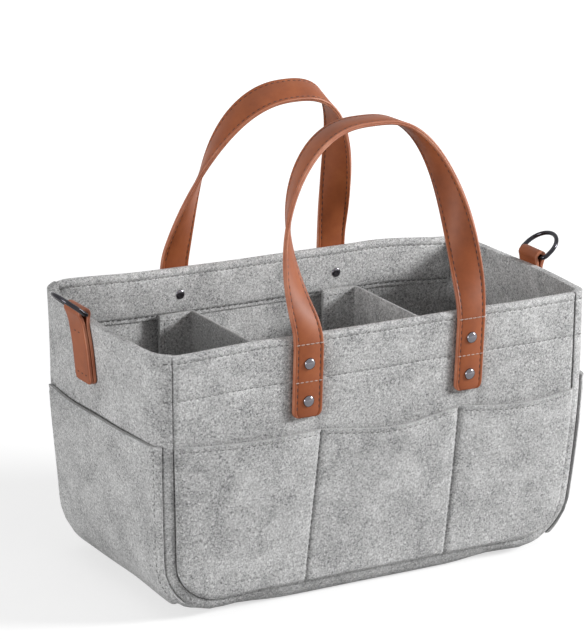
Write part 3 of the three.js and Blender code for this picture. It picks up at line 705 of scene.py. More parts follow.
def makeGusset():
    tall = rimHeight + gussetSet["above"]
    bpy.ops.object.select_all(action="DESELECT")
    bpy.ops.mesh.primitive_cube_add(
        size=1, location=(0, 0, tall / 2 * mm),
        scale=(caddySet["length"] * mm, caddySet["depth"] * mm, tall * mm),
    )
    piece = bpy.context.object
    piece.name = piece.data.name = "gusset_felt"
    bpy.ops.object.transform_apply(location=True, rotation=True, scale=True)
    nearly = 0.1 * mm
    facing, step, skipped = gussetSet["facing"], gussetSet["slice"], gussetSet["endSlices"]

    def atBase(edge):
        along = abs(edge.verts[0].co.x - edge.verts[1].co.x)
        return all(v.co.z < nearly for v in edge.verts) and along < nearly

    def isFold(edge):
        looks = [abs(f.normal.y) for f in edge.link_faces]
        atWall = all(abs(abs(v.co.y) - halfDepth * mm) < nearly for v in edge.verts)
        return atWall and min(looks) < 1 - facing and max(looks) > facing

    def work():
        pick("EDGE", atBase)
        roundEdges(caddySet["lowerCorner"], gussetSet["cornerSegments"])
        pick("FACE", lambda f: abs(f.normal.y) > facing)
        bpy.ops.mesh.inset(thickness=caddySet["seamLip"] * mm)
        bpy.ops.mesh.delete(type="FACE")
        pick("FACE", lambda f: f.normal.z > facing)
        bpy.ops.mesh.delete(type="FACE")
        pick("EDGE", isFold)
        roundEdges(caddySet["uprightCorner"], gussetSet["foldSegments"])
        bpy.ops.mesh.select_all(action="SELECT")
        bpy.ops.mesh.bisect(plane_co=(0, 0, rimHeight * mm), plane_no=(0, 0, 1), clear_outer=True)
        slicesAt(wallHeights(caddySet["lowerCorner"], rimHeight)[1:-1], (0, 0, 1))
        slicesAt(spread(-halfDepth, halfDepth, round(2 * halfDepth / step))[1:-1], (0, 1, 0))
        slicesAt(spread(-halfLength, halfLength, round(2 * halfLength / step))[skipped:-skipped], (1, 0, 0))

    inEdit(piece, work)
    weights = piece.vertex_groups.new(name="wall")
    for v in piece.data.vertices:
        x, y, z = v.co / mm
        nearRim = ease(z, rimHeight - gussetSet["rimWallReach"], rimHeight)
        thick = caddySet["wall"] + (gussetSet["rimWall"] - caddySet["wall"]) * nearRim
        weights.add([v.index], thick / gussetSet["rimWall"], "REPLACE")
        onLip = abs(y) > halfDepth - caddySet["uprightCorner"] / 2
        dent = wallDent(rimHeight - z) if onLip else 0
        v.co = feltPoint(x, y - math.copysign(dent, y), z) * mm
    piece.data.materials.clear()
    finishWith(
        piece, "SOLIDIFY", thickness=gussetSet["rimWall"] * mm, offset=-1, use_even_offset=True,
        material_offset_rim=1, vertex_group="wall",
    )
    turnOut(piece)
    easeEdges(piece, wallSet["cutEdge"], angle=55)
    smooth(piece, 50)
    dress(piece, [felt, feltEdge], "caddy_body", ["gusset_strip"])


# Long pockets: one sheet on each long side, sewn down in two lines.
pocketSet = {
    "heights": (120.5, 116, 115, 113.5),  # of the top edge, at each seam
    "thickness": 2.5,
    "sags": (0.5, 3, 1.5),
    "gapes": (6.5, 8, 7),
    "gapeUp": 1.8,
    "seamTops": (-42.5, 56.2),
    "seamBottoms": (-50.5, 54.3),
    "pinch": 0.6,  # share of the thickness that a seam presses flat
    "pinchWidth": 1.6,
    "topRow": 3,  # the stitch row below the top edge
    "dent": 0.4,
    "dentWidth": 0.8,
    "cutEdge": 0.7,
    "column": 7,
    "columnClear": 0.04,  # the least share of the length between the close columns or rows and the next
    "rows": 12,
    "rowClear": 0.03,
    "seamSteps": (0, 0.8, 1.6, 2.6, 4, 6.5, 10),  # columns and rows lie close together at the seams
    "topSteps": (10, 6.5, 4.6, 3.7, 3, 2.3, 1.4, 0.7, 0),  # and at the top edge
    "rowSpan": (0.03, 0.97),  # of each pocket's width
    "rowPoints": 24,
    "seamRowEnd": 1,
}


def gapeAt(gape, across, up):
    return gape * max(0, math.sin(math.pi * across)) * up ** pocketSet["gapeUp"]


def pinchAt(distance):
    return 1 - pocketSet["pinch"] * dentAt(distance, pocketSet["pinchWidth"])


def closeAtEnds(length, count, ends, clear):
    # Shares of a length: the close ones at its start, even ones between, and those at its end.
    near = [s / length for s in pocketSet["seamSteps"]]
    far = [1 - s / length for s in ends]
    return near + [v for v in spread(0, 1, count) if near[-1] + clear < v < far[0] - clear] + far


def pocketRows(length):
    return closeAtEnds(length, pocketSet["rows"], pocketSet["topSteps"], pocketSet["rowClear"])


def finishSheet(piece, name, cutEdge, body="caddy_body"):
    easeEdges(piece, cutEdge, angle=50)
    smooth(piece, 50)
    dress(piece, [felt, feltEdge], body, [name])


def makeLongPocket(name, side):
    reach = halfLength - seamInset
    bottoms = [-reach, *pocketSet["seamBottoms"], reach]
    tops = [-reach, *pocketSet["seamTops"], reach]
    columns = []
    for i in range(len(pocketSet["gapes"])):
        width = bottoms[i + 1] - bottoms[i]
        count = round(width / pocketSet["column"])
        shares = closeAtEnds(width, count, pocketSet["seamSteps"][::-1], pocketSet["columnClear"])
        columns += [(i, u) for u in (shares if i == 0 else shares[1:])]

    def place(column, v, face):
        i, u = column
        width = bottoms[i + 1] - bottoms[i]
        x = bottoms[i] + width * u
        bottom = panelBottom(x)
        low, high = pocketSet["heights"][i:i + 2]
        top = low + (high - low) * u - pocketSet["sags"][i] * math.sin(math.pi * u) ** 2
        z = bottom + (top - bottom) * v
        topX = tops[i] + (tops[i + 1] - tops[i]) * u
        across = min(u, 1 - u) * width
        pinch = pinchAt(across) * pinchAt(z - bottom)
        dent = pocketSet["dent"] * dentAt(top - z - pocketSet["topRow"], pocketSet["dentWidth"])
        out = gap + gapeAt(pocketSet["gapes"][i], u, v) + face * (pocketSet["thickness"] * pinch - dent)
        return feltPoint(x + (topX - x) * v, side * (halfDepth + out), z)

    tall = pocketSet["heights"][1] - seamInset
    piece = sheetShell(name + "_felt", columns, pocketRows(tall), place)
    finishSheet(piece, name, pocketSet["cutEdge"])
    stitches = []
    end = pocketSet["seamRowEnd"]
    for topX, bottomX in zip(pocketSet["seamTops"], pocketSet["seamBottoms"]):
        outside = (gap + pocketSet["thickness"] * (1 - pocketSet["pinch"]), 1)
        for depth, face in (outside, (-caddySet["wall"], -1)):
            points = []
            for z in spread(seamInset + end, seamInset + tall - end, pocketSet["rows"]):
                share = (z - seamInset) / tall
                points.append(feltPoint(bottomX + (topX - bottomX) * share, side * (halfDepth + depth), z))
            stitches += rowAlong(points, Vector((0, face * side, 0)))
    for i in range(len(pocketSet["gapes"])):
        shares = spread(*pocketSet["rowSpan"], pocketSet["rowPoints"])
        points = [place((i, u), 1 - pocketSet["topRow"] / tall, 1) for u in shares]
        stitches += rowAlong(points, Vector((0, side, 0)))
    return stitches


# End pockets: a sheet on each end with hemmed sides, tucked round the lower corner and the upright ones.
endPocketSet = {
    "frontReach": 73.5,  # from the end's middle, round the upright corner
    "backReach": 66,
    "backDip": 3.6,  # the mouth is lower at the back
    "backDipGrows": (-8, 50),
    "height": 121,
    "gape": 1.8,
    "sag": 0.8,
    "tuck": 0.28 * math.pi,
    "hem": 8,
    "hemRise": 0.3,
    "hemStep": 1.4,  # over which the hem's thickness ends
    "hemRow": 3.6,
    "hemDent": 0.6,
    "edgePress": 1.2,  # the front edge is pressed thin
    "columns": 15,
    "columnMargins": (5, 2),
    "edgeStep": 1.2,
    "rowSteps": (-1, -0.5, 0, 0.5, 1),  # columns round the hem's row
    "rowSpan": (0.03, 0.98),  # of the pocket's height
    "rowPoints": 20,
    "rowTurn": (-0.6, -0.3),  # the hem's row looks forward, and a little down at its foot
}


def endPocketPath(length):
    # The strip's outside, from where the pocket is sewn under up to its top: x, z and the way in.
    radius = caddySet["lowerCorner"]
    turn = endPocketSet["tuck"] * radius
    if length < turn:
        a = endPocketSet["tuck"] - length / radius
        return -radius * math.cos(a), radius - radius * math.sin(a), math.cos(a), math.sin(a)
    return -radius, radius + length - turn, 1, 0


def makeEndPocket(name, side):
    front, back = endPocketSet["frontReach"], endPocketSet["backReach"]
    lower = caddySet["lowerCorner"]
    corner = caddySet["uprightCorner"]
    flat = halfDepth - corner
    whole = endPocketSet["height"] - lower + endPocketSet["tuck"] * lower
    hem, row, rise = endPocketSet["hem"], endPocketSet["hemRow"], endPocketSet["hemStep"]
    inner, outmost = endPocketSet["columnMargins"]
    atRow = [row + step for step in endPocketSet["rowSteps"]]
    clear = endPocketSet["edgeStep"]
    nearEdge = [0, clear, *atRow, hem - rise, hem - rise / 2, hem, hem + clear]
    columns = [d - front for d in nearEdge]
    columns += spread(hem + inner - front, back - inner, endPocketSet["columns"]) + [back - outmost, back]

    def place(across, v, face):
        share = (across + front) / (front + back)
        dip = endPocketSet["sag"] * math.sin(math.pi * share) ** 2
        dip += endPocketSet["backDip"] * ease(across, *endPocketSet["backDipGrows"])
        length = (whole - dip) * v
        pathX, z, inX, inZ = endPocketPath(length)
        edge = across + front
        raised = endPocketSet["hemRise"] * (1 - ease(edge, hem - rise, hem))
        raised -= endPocketSet["hemDent"] * dentAt(edge - row, pocketSet["dentWidth"])
        raised -= (face + 1) / 2 * endPocketSet["edgePress"] * (1 - ease(edge, 0, row))
        dent = pocketSet["dent"] * dentAt(whole * (1 - v) - pocketSet["topRow"], pocketSet["dentWidth"])
        pinch = pinchAt(whole * v)
        out = gap + gapeAt(endPocketSet["gape"], share, v)
        out += face * (pocketSet["thickness"] * pinch + raised - dent)
        turn = max(0, abs(across) - flat) / corner  # round the upright corner
        y = math.copysign(min(abs(across), flat) + (corner + out) * math.sin(turn), across)
        inward = (corner + out) * (1 - math.cos(turn))
        x = halfLength - lower - pathX + out * inX - inward
        return feltPoint(side * x, y, z - out * inZ)

    piece = sheetShell(name + "_felt", columns, pocketRows(whole), place)
    finishSheet(piece, name, pocketSet["cutEdge"])
    shares = spread(*endPocketSet["rowSpan"], endPocketSet["rowPoints"])
    points = [place(row - front, v, 1) for v in shares]
    forward, down = endPocketSet["rowTurn"]
    return rowAlong(points, [Vector((side, forward, down * (1 - v))) for v in shares])


def rimStitches(side):
    # The hem's two rows, seen outside and inside, and a short way on over the gusset's lip.
    stitches = []
    outEnd, inEnd = wallSet["rowEnds"]
    outside = (wallSet["dent"], 1, halfLength - outEnd)
    inside = (2 * caddySet["wall"] - wallSet["dent"], -1, halfLength - seamInset - inEnd)
    for below in wallSet["rowsBelowRim"]:
        for depth, face, end in (outside, inside):
            y, z = side * (halfDepth - depth), rimHeight - below
            points = [feltPoint(x, y, z) for x in spread(-end, end, 60)]
            stitches += rowAlong(points, Vector((0, face * side, 0)))
    return stitches


# Handles: each is one strap of two layers, sewn and riveted at both ends and twisted into an arch.
strapSet = {
    "width": 20.8,
    "thickness": 3,
    "spacing": 114.6,
    "drop": 54,
    "cornerRadius": 4.5,
    "edgeRadius": 0.6,
    "endThin": 0.6,  # of the thickness, at the very end
    "seam": 0.18,  # the line between the two layers, on the edges
    "rowInset": 2.5,  # of the stitches from each edge
    "rowDepth": 0.45,
    "rowGroove": 0.9,  # half the width of the groove that they lie in
    "rowRise": 0.3,  # of a stitch's radius, above the groove
    "crossInset": 0.8,
    "tipSteps": (0, 0.15, 0.6, 1.3, 2.2, 3.3, 4.5),  # sections lie close together at the rounded ends
    "tipClear": 6,
    "legSteps": 14,
    "station": 3.2,
    "samples": 900,
    "straightRise": 4,  # above the rim, before the twist starts
    "softened": (-2, 4),  # sections below and above the rim, where the strap bends softly, not in a crease
    "softenings": 6,
}
handleSet = {
    "front": {
        "offset": 4.1, "rise": 127.3, "squareness": 2.78, "bulge": 0.079, "topShift": 8.1, "sway": -2.4,
        "lean": 0.125 * math.pi, "twist": 0.621 * math.pi, "twistPower": 0.89,
    },
    "back": {
        "offset": 1, "rise": 117.8, "squareness": 2.44, "bulge": -0.048, "topShift": 11.5, "sway": 0.9,
        "lean": 0.067 * math.pi, "twist": 0.594 * math.pi, "twistPower": 1.06,
    },
}


def legAt(name, leg):  # where a handle's left (-1) or right (1) leg stands along the wall
    return handleSet[name]["offset"] + leg * strapSet["spacing"] / 2


def strapOutline(half, thick, inset, depth):
    # The strap's section, once round from its outer face: points (across, out) and which sides are painted.
    easing, seam, groove = strapSet["edgeRadius"], strapSet["seam"], strapSet["rowGroove"]
    face = [half - easing, half - inset + groove, half - inset, half - inset - groove]
    outer = [(face[0], thick), (face[1], thick), (face[2], thick - depth), (face[3], thick)]
    outer += [(0, thick)] + [(-a, b) for a, b in reversed(outer)]
    edge = [
        (-half, thick - easing), (-half, seam), (-half + seam, 0), (-half, -seam), (-half, easing - thick),
    ]
    points = outer + edge + [(-a, -b) for a, b in outer + edge]
    painted = [0] * (len(outer) - 1) + [1] * (len(edge) + 1)
    return points, painted * 2


def ribbon(name, stations, width, thickness, cornerRadius, rowInset, rowDepth):
    # Skins a strap along its stations: (middle, across, out). Its two ends are rounded off.
    lengths = runLengths([middle for middle, across, out in stations])
    half, thick = width / 2, thickness / 2
    points, painted = strapOutline(half, thick, rowInset, rowDepth)
    endThin = strapSet["endThin"]
    rings = []
    for (middle, across, out), length in zip(stations, lengths):
        left = min(length, lengths[-1] - length, cornerRadius)
        narrowed = half - cornerRadius + math.sqrt(cornerRadius ** 2 - (cornerRadius - left) ** 2)
        thin = min(1, endThin + (1 - endThin) * left / strapSet["edgeRadius"])
        rings.append([middle + across * (a * narrowed / half) + out * (b * thin) for a, b in points])
    piece = loft(name, rings, kinds=painted, capKind=1)
    smooth(piece, 50)
    return piece


def archStation(shape, halfSpan, t):
    # A point of the arch, along and up, at t from 0 (left leg) to 1. Squareness 2 would make an ellipse.
    angle = math.pi * t
    power = 2 / shape["squareness"]
    up = max(0, math.sin(angle)) ** power
    cosine = math.cos(angle)
    along = -math.copysign(abs(cosine) ** power, cosine) * (1 + shape["bulge"] * 4 * up * (1 - up))
    x = halfSpan * along + shape["topShift"] * math.sin(angle) ** 2 + shape["sway"] * 4 * up * (1 - up)
    return x, shape["rise"] * up


def handleStations(name, side):
    shape = handleSet[name]
    thick = strapSet["thickness"] / 2
    y = side * (halfDepth + gap + thick)
    z = rimHeight + gap + thick
    legs = [legAt(name, leg) for leg in (-1, 1)]
    feet = [feltPoint(x, y, z) for x in legs]
    fold = (feet[0] + feet[1]) / 2
    halfSpan = (feet[1].x - feet[0].x) / 2
    lean = shape["lean"]
    upward = Vector((0, -side * math.sin(lean), math.cos(lean)))
    across = Vector((0, math.cos(lean), side * math.sin(lean)))

    def sewn(x):
        low = rimHeight - strapSet["drop"]
        heights = [low + step for step in strapSet["tipSteps"]]
        heights += spread(low + strapSet["tipClear"], rimHeight - 1, strapSet["legSteps"])
        places = []
        for h in heights:
            wide = (feltPoint(x + 1, y, h) - feltPoint(x - 1, y, h)).normalized()
            places.append((feltPoint(x, y, h), wide, Vector((0, -1, 0))))
        return places

    straight = strapSet["straightRise"]
    samples = [archStation(shape, halfSpan, t) for t in spread(0, 1, strapSet["samples"])]
    lengths = [0]
    for a, b in zip(samples, samples[1:]):
        lengths.append(lengths[-1] + math.dist(a, b))
    steps = round(lengths[-1] / strapSet["station"])
    arch = []
    i = 0
    for n in range(1, steps):
        target = lengths[-1] * n / steps
        while lengths[i + 1] < target:
            i += 1
        (x0, h0), (x1, h1) = samples[i], samples[i + 1]
        heading = Vector((x1 - x0, 0, 0)) + upward * (h1 - h0)
        riseShare = max(0, h0 - straight) / (shape["rise"] - straight)
        turn = shape["twist"] * riseShare ** shape["twistPower"]
        inPlane = across.cross(heading).normalized()
        wide = inPlane * math.cos(turn) + across * math.sin(turn)
        middle = Vector((fold.x + x0, fold.y, fold.z)) + upward * h0
        arch.append((middle, wide, wide.cross(heading.normalized()).normalized()))
    left = sewn(legs[0])
    right = [(m, -w, o) for m, w, o in reversed(sewn(legs[1]))]
    stations = left + arch + right
    first, last = [len(left) + step for step in strapSet["softened"]]
    for _ in range(strapSet["softenings"]):
        blended = list(stations)
        for k in range(first, last):
            for j in (k, len(stations) - 1 - k):
                parts = zip(stations[j - 1], stations[j], stations[j + 1])
                middle, wide, out = [(a + b * 2 + c) / 4 for a, b, c in parts]
                blended[j] = (middle, wide.normalized(), out.normalized())
        stations = blended
    return stations, len(left)


def faceRow(stations, acrossBy, face, depth):
    points = [m + w * acrossBy + o * (face * depth) for m, w, o in stations]
    return rowAlong(points, [o * face for m, w, o in stations])


def makeHandle(name, side):
    stations, sewnCount = handleStations(name, side)
    handle = ribbon(
        name + "_handle_strap", stations, strapSet["width"], strapSet["thickness"],
        strapSet["cornerRadius"], strapSet["rowInset"], strapSet["rowDepth"],
    )
    ends = [f"{name}_{leg}_strap_end" for leg in ("left", "right")]
    dress(handle, [leather, leatherEdge], None, [name + "_handle", *ends])
    rowAt = strapSet["width"] / 2 - strapSet["rowInset"]
    depth = strapSet["thickness"] / 2 - strapSet["rowDepth"] + stitchSet["radius"] * strapSet["rowRise"]
    outward = -side  # the out side of a sewn end is whichever faces away from the wall
    first = len(strapSet["tipSteps"]) - 1
    rows = []
    for acrossBy in (-rowAt, rowAt):
        rows += faceRow(stations[first:-first], acrossBy, outward, depth)
        rows += faceRow(stations[sewnCount:-sewnCount], acrossBy, -outward, depth)
    for middle, wide, out in (stations[first], stations[-first - 1]):
        points = [middle + wide * a + out * (outward * depth) for a in spread(-rowAt, rowAt, 4)]
        rows += rowAlong(points, out * outward, stitchSet["crossPitch"])
    thread = stitchesAt(name + "_handle_stitches", rows, leatherThread)
    for piece in (handle, thread):
        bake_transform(piece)
    rows = []
    y = side * (halfDepth + gap + strapSet["thickness"])
    half = strapSet["width"] / 2 - strapSet["crossInset"]
    for leg in (-1, 1):
        x = legAt(name, leg)
        for below in wallSet["rowsBelowRim"]:
            points = [feltPoint(px, y, rimHeight - below) for px in spread(x - half, x + half, 6)]
            rows += rowAlong(points, Vector((0, side, 0)), stitchSet["crossPitch"])
    stitchesAt(name + "_cross_stitches", rows, crossThread, "caddy_body")


# Rivets: a domed head on the leather and a low cap inside, spun from one profile.
rivetSet = {
    "head": 3.8,  # radii
    "shank": 2,
    "cap": 3.3,
    "headHeight": 2.1,
    "headEdge": 0.35,
    "capHeight": 1.2,
    "capEdge": 0.3,
    "sides": 36,
    "drops": (18, 42.9),
    "slopeStep": 5,  # the wall's slope is taken over this length
}


def modelRivet(name, through):
    head, shank, cap = rivetSet["head"], rivetSet["shank"], rivetSet["cap"]
    edge, rise = rivetSet["headEdge"], rivetSet["headHeight"] - rivetSet["headEdge"]
    capEdge, capRise = rivetSet["capEdge"], rivetSet["capHeight"] - rivetSet["capEdge"]
    below, above = spread(math.pi / 2, 0, 5), spread(0, math.pi / 2, 7)
    profile = [(cap * math.cos(a), -through - capEdge - capRise * math.sin(a)) for a in below]
    profile += [(cap, -through), (shank, -through), (shank, 0), (head, 0)]
    profile += [(head * math.cos(a), edge + rise * math.sin(a)) for a in above]
    corners = [(x, 0, z) for x, z in profile]
    piece = meshPiece(name, corners, [])
    piece.data.edges.add(len(corners) - 1)
    for i, e in enumerate(piece.data.edges):
        e.vertices = (i, i + 1)
    piece.data.update()

    def work():
        bpy.ops.mesh.select_all(action="SELECT")
        bpy.ops.mesh.spin(steps=rivetSet["sides"], angle=2 * math.pi, center=(0, 0, 0), axis=(0, 0, 1))

    inEdit(piece, work)
    turnOut(piece)
    smooth(piece, 35)
    return piece


def makeRivets(name, side):
    step = rivetSet["slopeStep"]
    y = side * (halfDepth + gap + strapSet["thickness"])
    for leg, legName in ((-1, "left"), (1, "right")):
        for drop, rowName in zip(rivetSet["drops"], ("upper", "lower")):
            x, z = legAt(name, leg), rimHeight - drop
            wall = caddySet["wall"] * (2 if rowName == "upper" else 1)
            node = f"{name}_{legName}_{rowName}_rivet"
            rivet = modelRivet(node + "_metal", strapSet["thickness"] + gap + wall)
            at = feltPoint(x, y, z)
            alongX = feltPoint(x + step, y, z) - at
            alongZ = feltPoint(x, y, z + step) - at
            out = alongZ.cross(alongX).normalized() * side
            turn = Vector((0, 0, 1)).rotation_difference(out).to_matrix().to_4x4()
            rivet.data.transform(Matrix.Translation(at * mm) @ turn)
            dress(rivet, [gunmetal], "caddy_body", [node])


makeGusset()
for name, side in sides.items():
    makeWall(name + "_panel", side)
    rows = makeLongPocket(name + "_pocket_panel", side) + rimStitches(side)
    stitchesAt(name + "_felt_stitches", rows, feltThreadWithPaintedShade, "caddy_body")
for name, side in ends.items():
    rows = makeEndPocket(name + "_end_pocket", side)
    stitchesAt(name + "_end_stitches", rows, feltThreadWithPaintedShade, "caddy_body")
print("felt body made")

for name, side in sides.items():
    makeHandle(name, side)
    makeRivets(name, side)
print("handles and rivets made")

# End tabs: a strap folded over the ring's bar and sewn to the end.
tabSet = {
    "width": 20.5,
    "layer": 2.4,
    "drop": 40,
    "eyeHeight": 5.6,
    "eyeRadius": 1.9,
    "cornerRadius": 4,
    "halfGap": 0.03,  # between the two layers
    "neck": 2,  # below the loop, where the layers part
    "neckReach": 3,
    "softenings": 2,
    "tipSteps": (0, 0.15, 0.6, 1.3, 2.2, 3.2, 4.2),
    "tipClear": 6,
    "topClear": 3.5,
    "legSteps": 12,
    "loopTurn": (-0.25 * math.pi, 1.25 * math.pi),  # from outside over the bar to inside
    "loopSteps": 18,
    "rowInset": 3,
    "upperRow": (13, 2),  # below the bar, and the number of stitches
    "lowerRow": (5.5, 3),  # above the tab's end
    "rowPitch": 5.2,
    "places": {"left": 11, "right": -2},  # of their middles along the ends
    "lean": {"left": 0.1, "right": 0},  # of the sewn part, sideways
    "sway": {"left": 2, "right": 0},  # of the loop, sideways
    "swayReach": 26,
}
ringSet = {
    "wire": 3,
    "width": 27.5,
    "straight": 3,
    "cornerRadius": 3,
    "rest": 0.207 * math.pi,  # up from level
    "wireSides": 20,
    "cornerSteps": 6,
    "bowSteps": 30,
}


def squarePoint(x, y, z, end):
    # A tab and its ring sit square, though the rim slopes a little under them.
    eyeZ = rimHeight + tabSet["eyeHeight"]
    slid = y + tabSet["places"][end] + tabSet["lean"][end] * min(0, z - eyeZ)
    slid += tabSet["sway"][end] * ease(z, eyeZ - tabSet["swayReach"], eyeZ)
    return Vector((lengthMap(x, 0, z), slid, heightMap(x, 0, z)))


def makeTab(end, side):
    name = end + "_end_tab"
    layer = tabSet["layer"]
    middleX = halfLength + gap + layer
    eyeZ = rimHeight + tabSet["eyeHeight"]
    low = rimHeight - tabSet["drop"]
    apart = layer / 2 + tabSet["halfGap"]
    loop = tabSet["eyeRadius"] + layer / 2
    rising = [low + step for step in tabSet["tipSteps"]]
    rising += spread(low + tabSet["tipClear"], eyeZ - loop - tabSet["topClear"], tabSet["legSteps"])
    path = [(middleX + apart, z) for z in rising]
    for a in spread(*tabSet["loopTurn"], tabSet["loopSteps"]):
        path.append((middleX + loop * math.cos(a), eyeZ + loop * math.sin(a)))
    path += [(middleX - apart, z) for z in reversed(rising)]
    neck = eyeZ - loop - tabSet["neck"]
    for _ in range(tabSet["softenings"]):
        softer = [path[0]]
        for before, here, after in zip(path, path[1:], path[2:]):
            mean = tuple((a + 2 * b + c) / 4 for a, b, c in zip(before, here, after))
            softer.append(mean if abs(here[1] - neck) < tabSet["neckReach"] else here)
        path = softer + [path[-1]]
    middles = [squarePoint(side * x, 0, z, end) for x, z in path]
    stations = []
    for i, middle in enumerate(middles):
        heading = middles[min(i + 1, len(middles) - 1)] - middles[max(i - 1, 0)]
        wide = Vector((0, 1, 0))
        stations.append((middle, wide, wide.cross(heading).normalized()))
    piece = ribbon(
        name + "_leather", stations, tabSet["width"], layer, tabSet["cornerRadius"], tabSet["rowInset"], 0,
    )
    dress(piece, [leather, leatherEdge], "caddy_body", [name])
    rows = []
    outX = middleX + layer
    (below, upperCount), (above, lowerCount) = tabSet["upperRow"], tabSet["lowerRow"]
    for z, count in ((eyeZ - below, upperCount), (low + above, lowerCount)):
        for n in range(count):
            y = (n - (count - 1) / 2) * tabSet["rowPitch"]
            rows.append((squarePoint(side * outX, y, z, end), Vector((0, 1, 0)), Vector((side, 0, 0))))
    stitchesAt(name + "_stitches", rows, leatherThread, "caddy_body")


def makeRing(end, side):
    name = end + "_d_ring"
    s = ringSet
    wide, r = s["width"] / 2, s["cornerRadius"]

    def arc(y, z, radius, low, high, steps):
        turns = spread(low, high, steps)
        return [Vector((0, y + radius * math.cos(a), z + radius * math.sin(a))) for a in turns]

    steps = s["cornerSteps"]
    path = arc(wide - r, r, r, -math.pi / 2, 0, steps)
    path += arc(0, r + s["straight"], wide, 0, math.pi, s["bowSteps"])
    path += arc(r - wide, r, r, math.pi, math.pi * 1.5, steps)
    path += [Vector((0, y, 0)) for y in spread(r - wide, wide - r, steps)[1:-1]]
    bar = squarePoint(side * (halfLength + gap + tabSet["layer"]), 0, rimHeight + tabSet["eyeHeight"], end)
    tilt = Matrix.Rotation(side * (math.pi / 2 - s["rest"]), 3, "Y")
    rings = []
    for i, middle in enumerate(path):
        heading = (path[(i + 1) % len(path)] - path[i - 1]).normalized()
        outward = heading.cross(Vector((1, 0, 0)))
        ring = []
        for a in spread(0, 2 * math.pi, s["wireSides"])[:-1]:
            offset = outward * math.cos(a) + Vector((1, 0, 0)) * math.sin(a)
            ring.append(tilt @ (middle + offset * (s["wire"] / 2)) + bar)
        rings.append(ring)
    piece = loft(name + "_wire", rings, closed=True)
    smooth(piece, 60)
    dress(piece, [blackNickel], end + "_ring", [name])


for end, side in ends.items():
    makeTab(end, side)
    makeRing(end, side)
print("tabs and rings made")

# Dividers: felt panels with a flange at each end, which hook-and-loop tape holds to the walls.
dividerSet = {
    "height": 149.5,
    "longHeight": 145,
    "thickness": 2.5,
    "flange": 27,
    "bend": 2.6,
    "leftX": -51.5,
    "rightX": 75,
    "longFlangeBottom": 20,
    "flangeDepth": 7.3,  # from the wall's outside to the flange
    "rowInset": 4,
    "cutEdge": 0.7,
    "step": 12,
    "rows": 12,
}


def roundedPath(corners, radius):
    # A flat path through the corners, each inner one rounded.
    path = [Vector(corners[0])]
    for a, b, c in zip(corners, corners[1:], corners[2:]):
        a, b, c = Vector(a), Vector(b), Vector(c)
        start, stop = b + (a - b).normalized() * radius, b + (c - b).normalized() * radius
        path += [start.lerp(b, t).lerp(b.lerp(stop, t), t) for t in spread(0, 1, 5)]
    return path + [Vector(corners[-1])]


def fillPath(path, step):
    filled = []
    for a, b in zip(path, path[1:]):
        filled += [a.lerp(b, t) for t in spread(0, 1, max(1, round((b - a).length / step)))[:-1]]
    return filled + [path[-1]]


def makeDivider(name, corners, bottomAt, bend, height):
    # A sheet that stands on a bent line, with its own height at each place along that line.
    path = fillPath(roundedPath(corners, dividerSet["bend"]), dividerSet["step"])
    half, inset = dividerSet["thickness"] / 2, dividerSet["rowInset"]
    top = floorZ + height

    def normalAt(i):
        heading = (path[min(i + 1, len(path) - 1)] - path[max(i - 1, 0)]).normalized()
        return Vector((-heading.y, heading.x))

    def place(i, v, face):
        middle = path[i] + normalAt(i) * (half if face else -half)
        bottom = bottomAt(i, path)
        return bend(middle.x, middle.y, bottom + (top - bottom) * v)

    piece = sheetShell(name + "_felt", range(len(path)), spread(0, 1, dividerSet["rows"]), place)
    finishSheet(piece, name, dividerSet["cutEdge"], name)
    wide = sum((b - a).length for a, b in zip(path, path[1:]))
    rows = []
    for order in (path, path[::-1]):
        tip = order[0]
        inner = tip + (order[1] - tip).normalized() * (dividerSet["flange"] - inset)
        along = (inner - tip).normalized()
        for face in (-1, 1):
            off = Vector((-along.y, along.x)) * face * half
            edge = tip + along * inset + off
            inmost = inner + off
            z = top - inset
            low = bottomAt(0 if order is path else len(path) - 1, path) + inset
            out = Vector((off.x, off.y, 0))
            down = [bend(edge.x, edge.y, h) for h in spread(low, z, 10)]
            level = [bend(*edge.lerp(inmost, t), z) for t in spread(0, 1, 5)]
            rows += rowAlong(down, out) + rowAlong(level, out)
    stitchesAt(name + "_stitches", rows, feltThreadWithPaintedShade, name)


dividerHalf = dividerSet["thickness"] / 2
flangeY = halfDepth - dividerSet["flangeDepth"] - dividerHalf
floorZ = caddySet["wall"] + gap
for name in ("left", "right"):
    x = dividerSet[name + "X"]
    tip = x + dividerHalf - dividerSet["flange"]
    makeDivider(
        name + "_divider", [(tip, -flangeY), (x, -flangeY), (x, flangeY), (tip, flangeY)],
        lambda i, path: floorZ, liningPoint, dividerSet["height"],
    )

longLeft = dividerSet["rightX"] + dividerHalf + dividerSet["flangeDepth"] - caddySet["wall"]
longRight = halfLength - dividerSet["flangeDepth"]


def longPoint(x, y, z):
    share = min(1, max(0, (x - longLeft) / (longRight - longLeft)))
    return Vector((x + (lengthMap(x, y, z) - x) * share, depthMap(x, y, z), z))


def longBottom(i, path):
    x, y = path[i]
    radius = caddySet["lowerCorner"] - floorZ
    centre = halfLength - caddySet["lowerCorner"]
    if y < -dividerHalf and x > centre:
        return dividerSet["longFlangeBottom"]
    past = min(radius, max(0, x - centre))
    return caddySet["lowerCorner"] - math.sqrt(radius ** 2 - past ** 2)


flangeTip = dividerHalf - dividerSet["flange"]
nearX, farX = longLeft + dividerHalf, longRight - dividerHalf
makeDivider(
    "long_divider", [(nearX, flangeTip), (nearX, 0), (farX, 0), (farX, flangeTip)],
    longBottom, longPoint, dividerSet["longHeight"],
)

for node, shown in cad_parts.items():
    if node.endswith("_strip") and "loop" in node or node.endswith("_pad"):
        shown.data.materials.clear()
        shown.data.materials.append(tape)
print("dividers made")

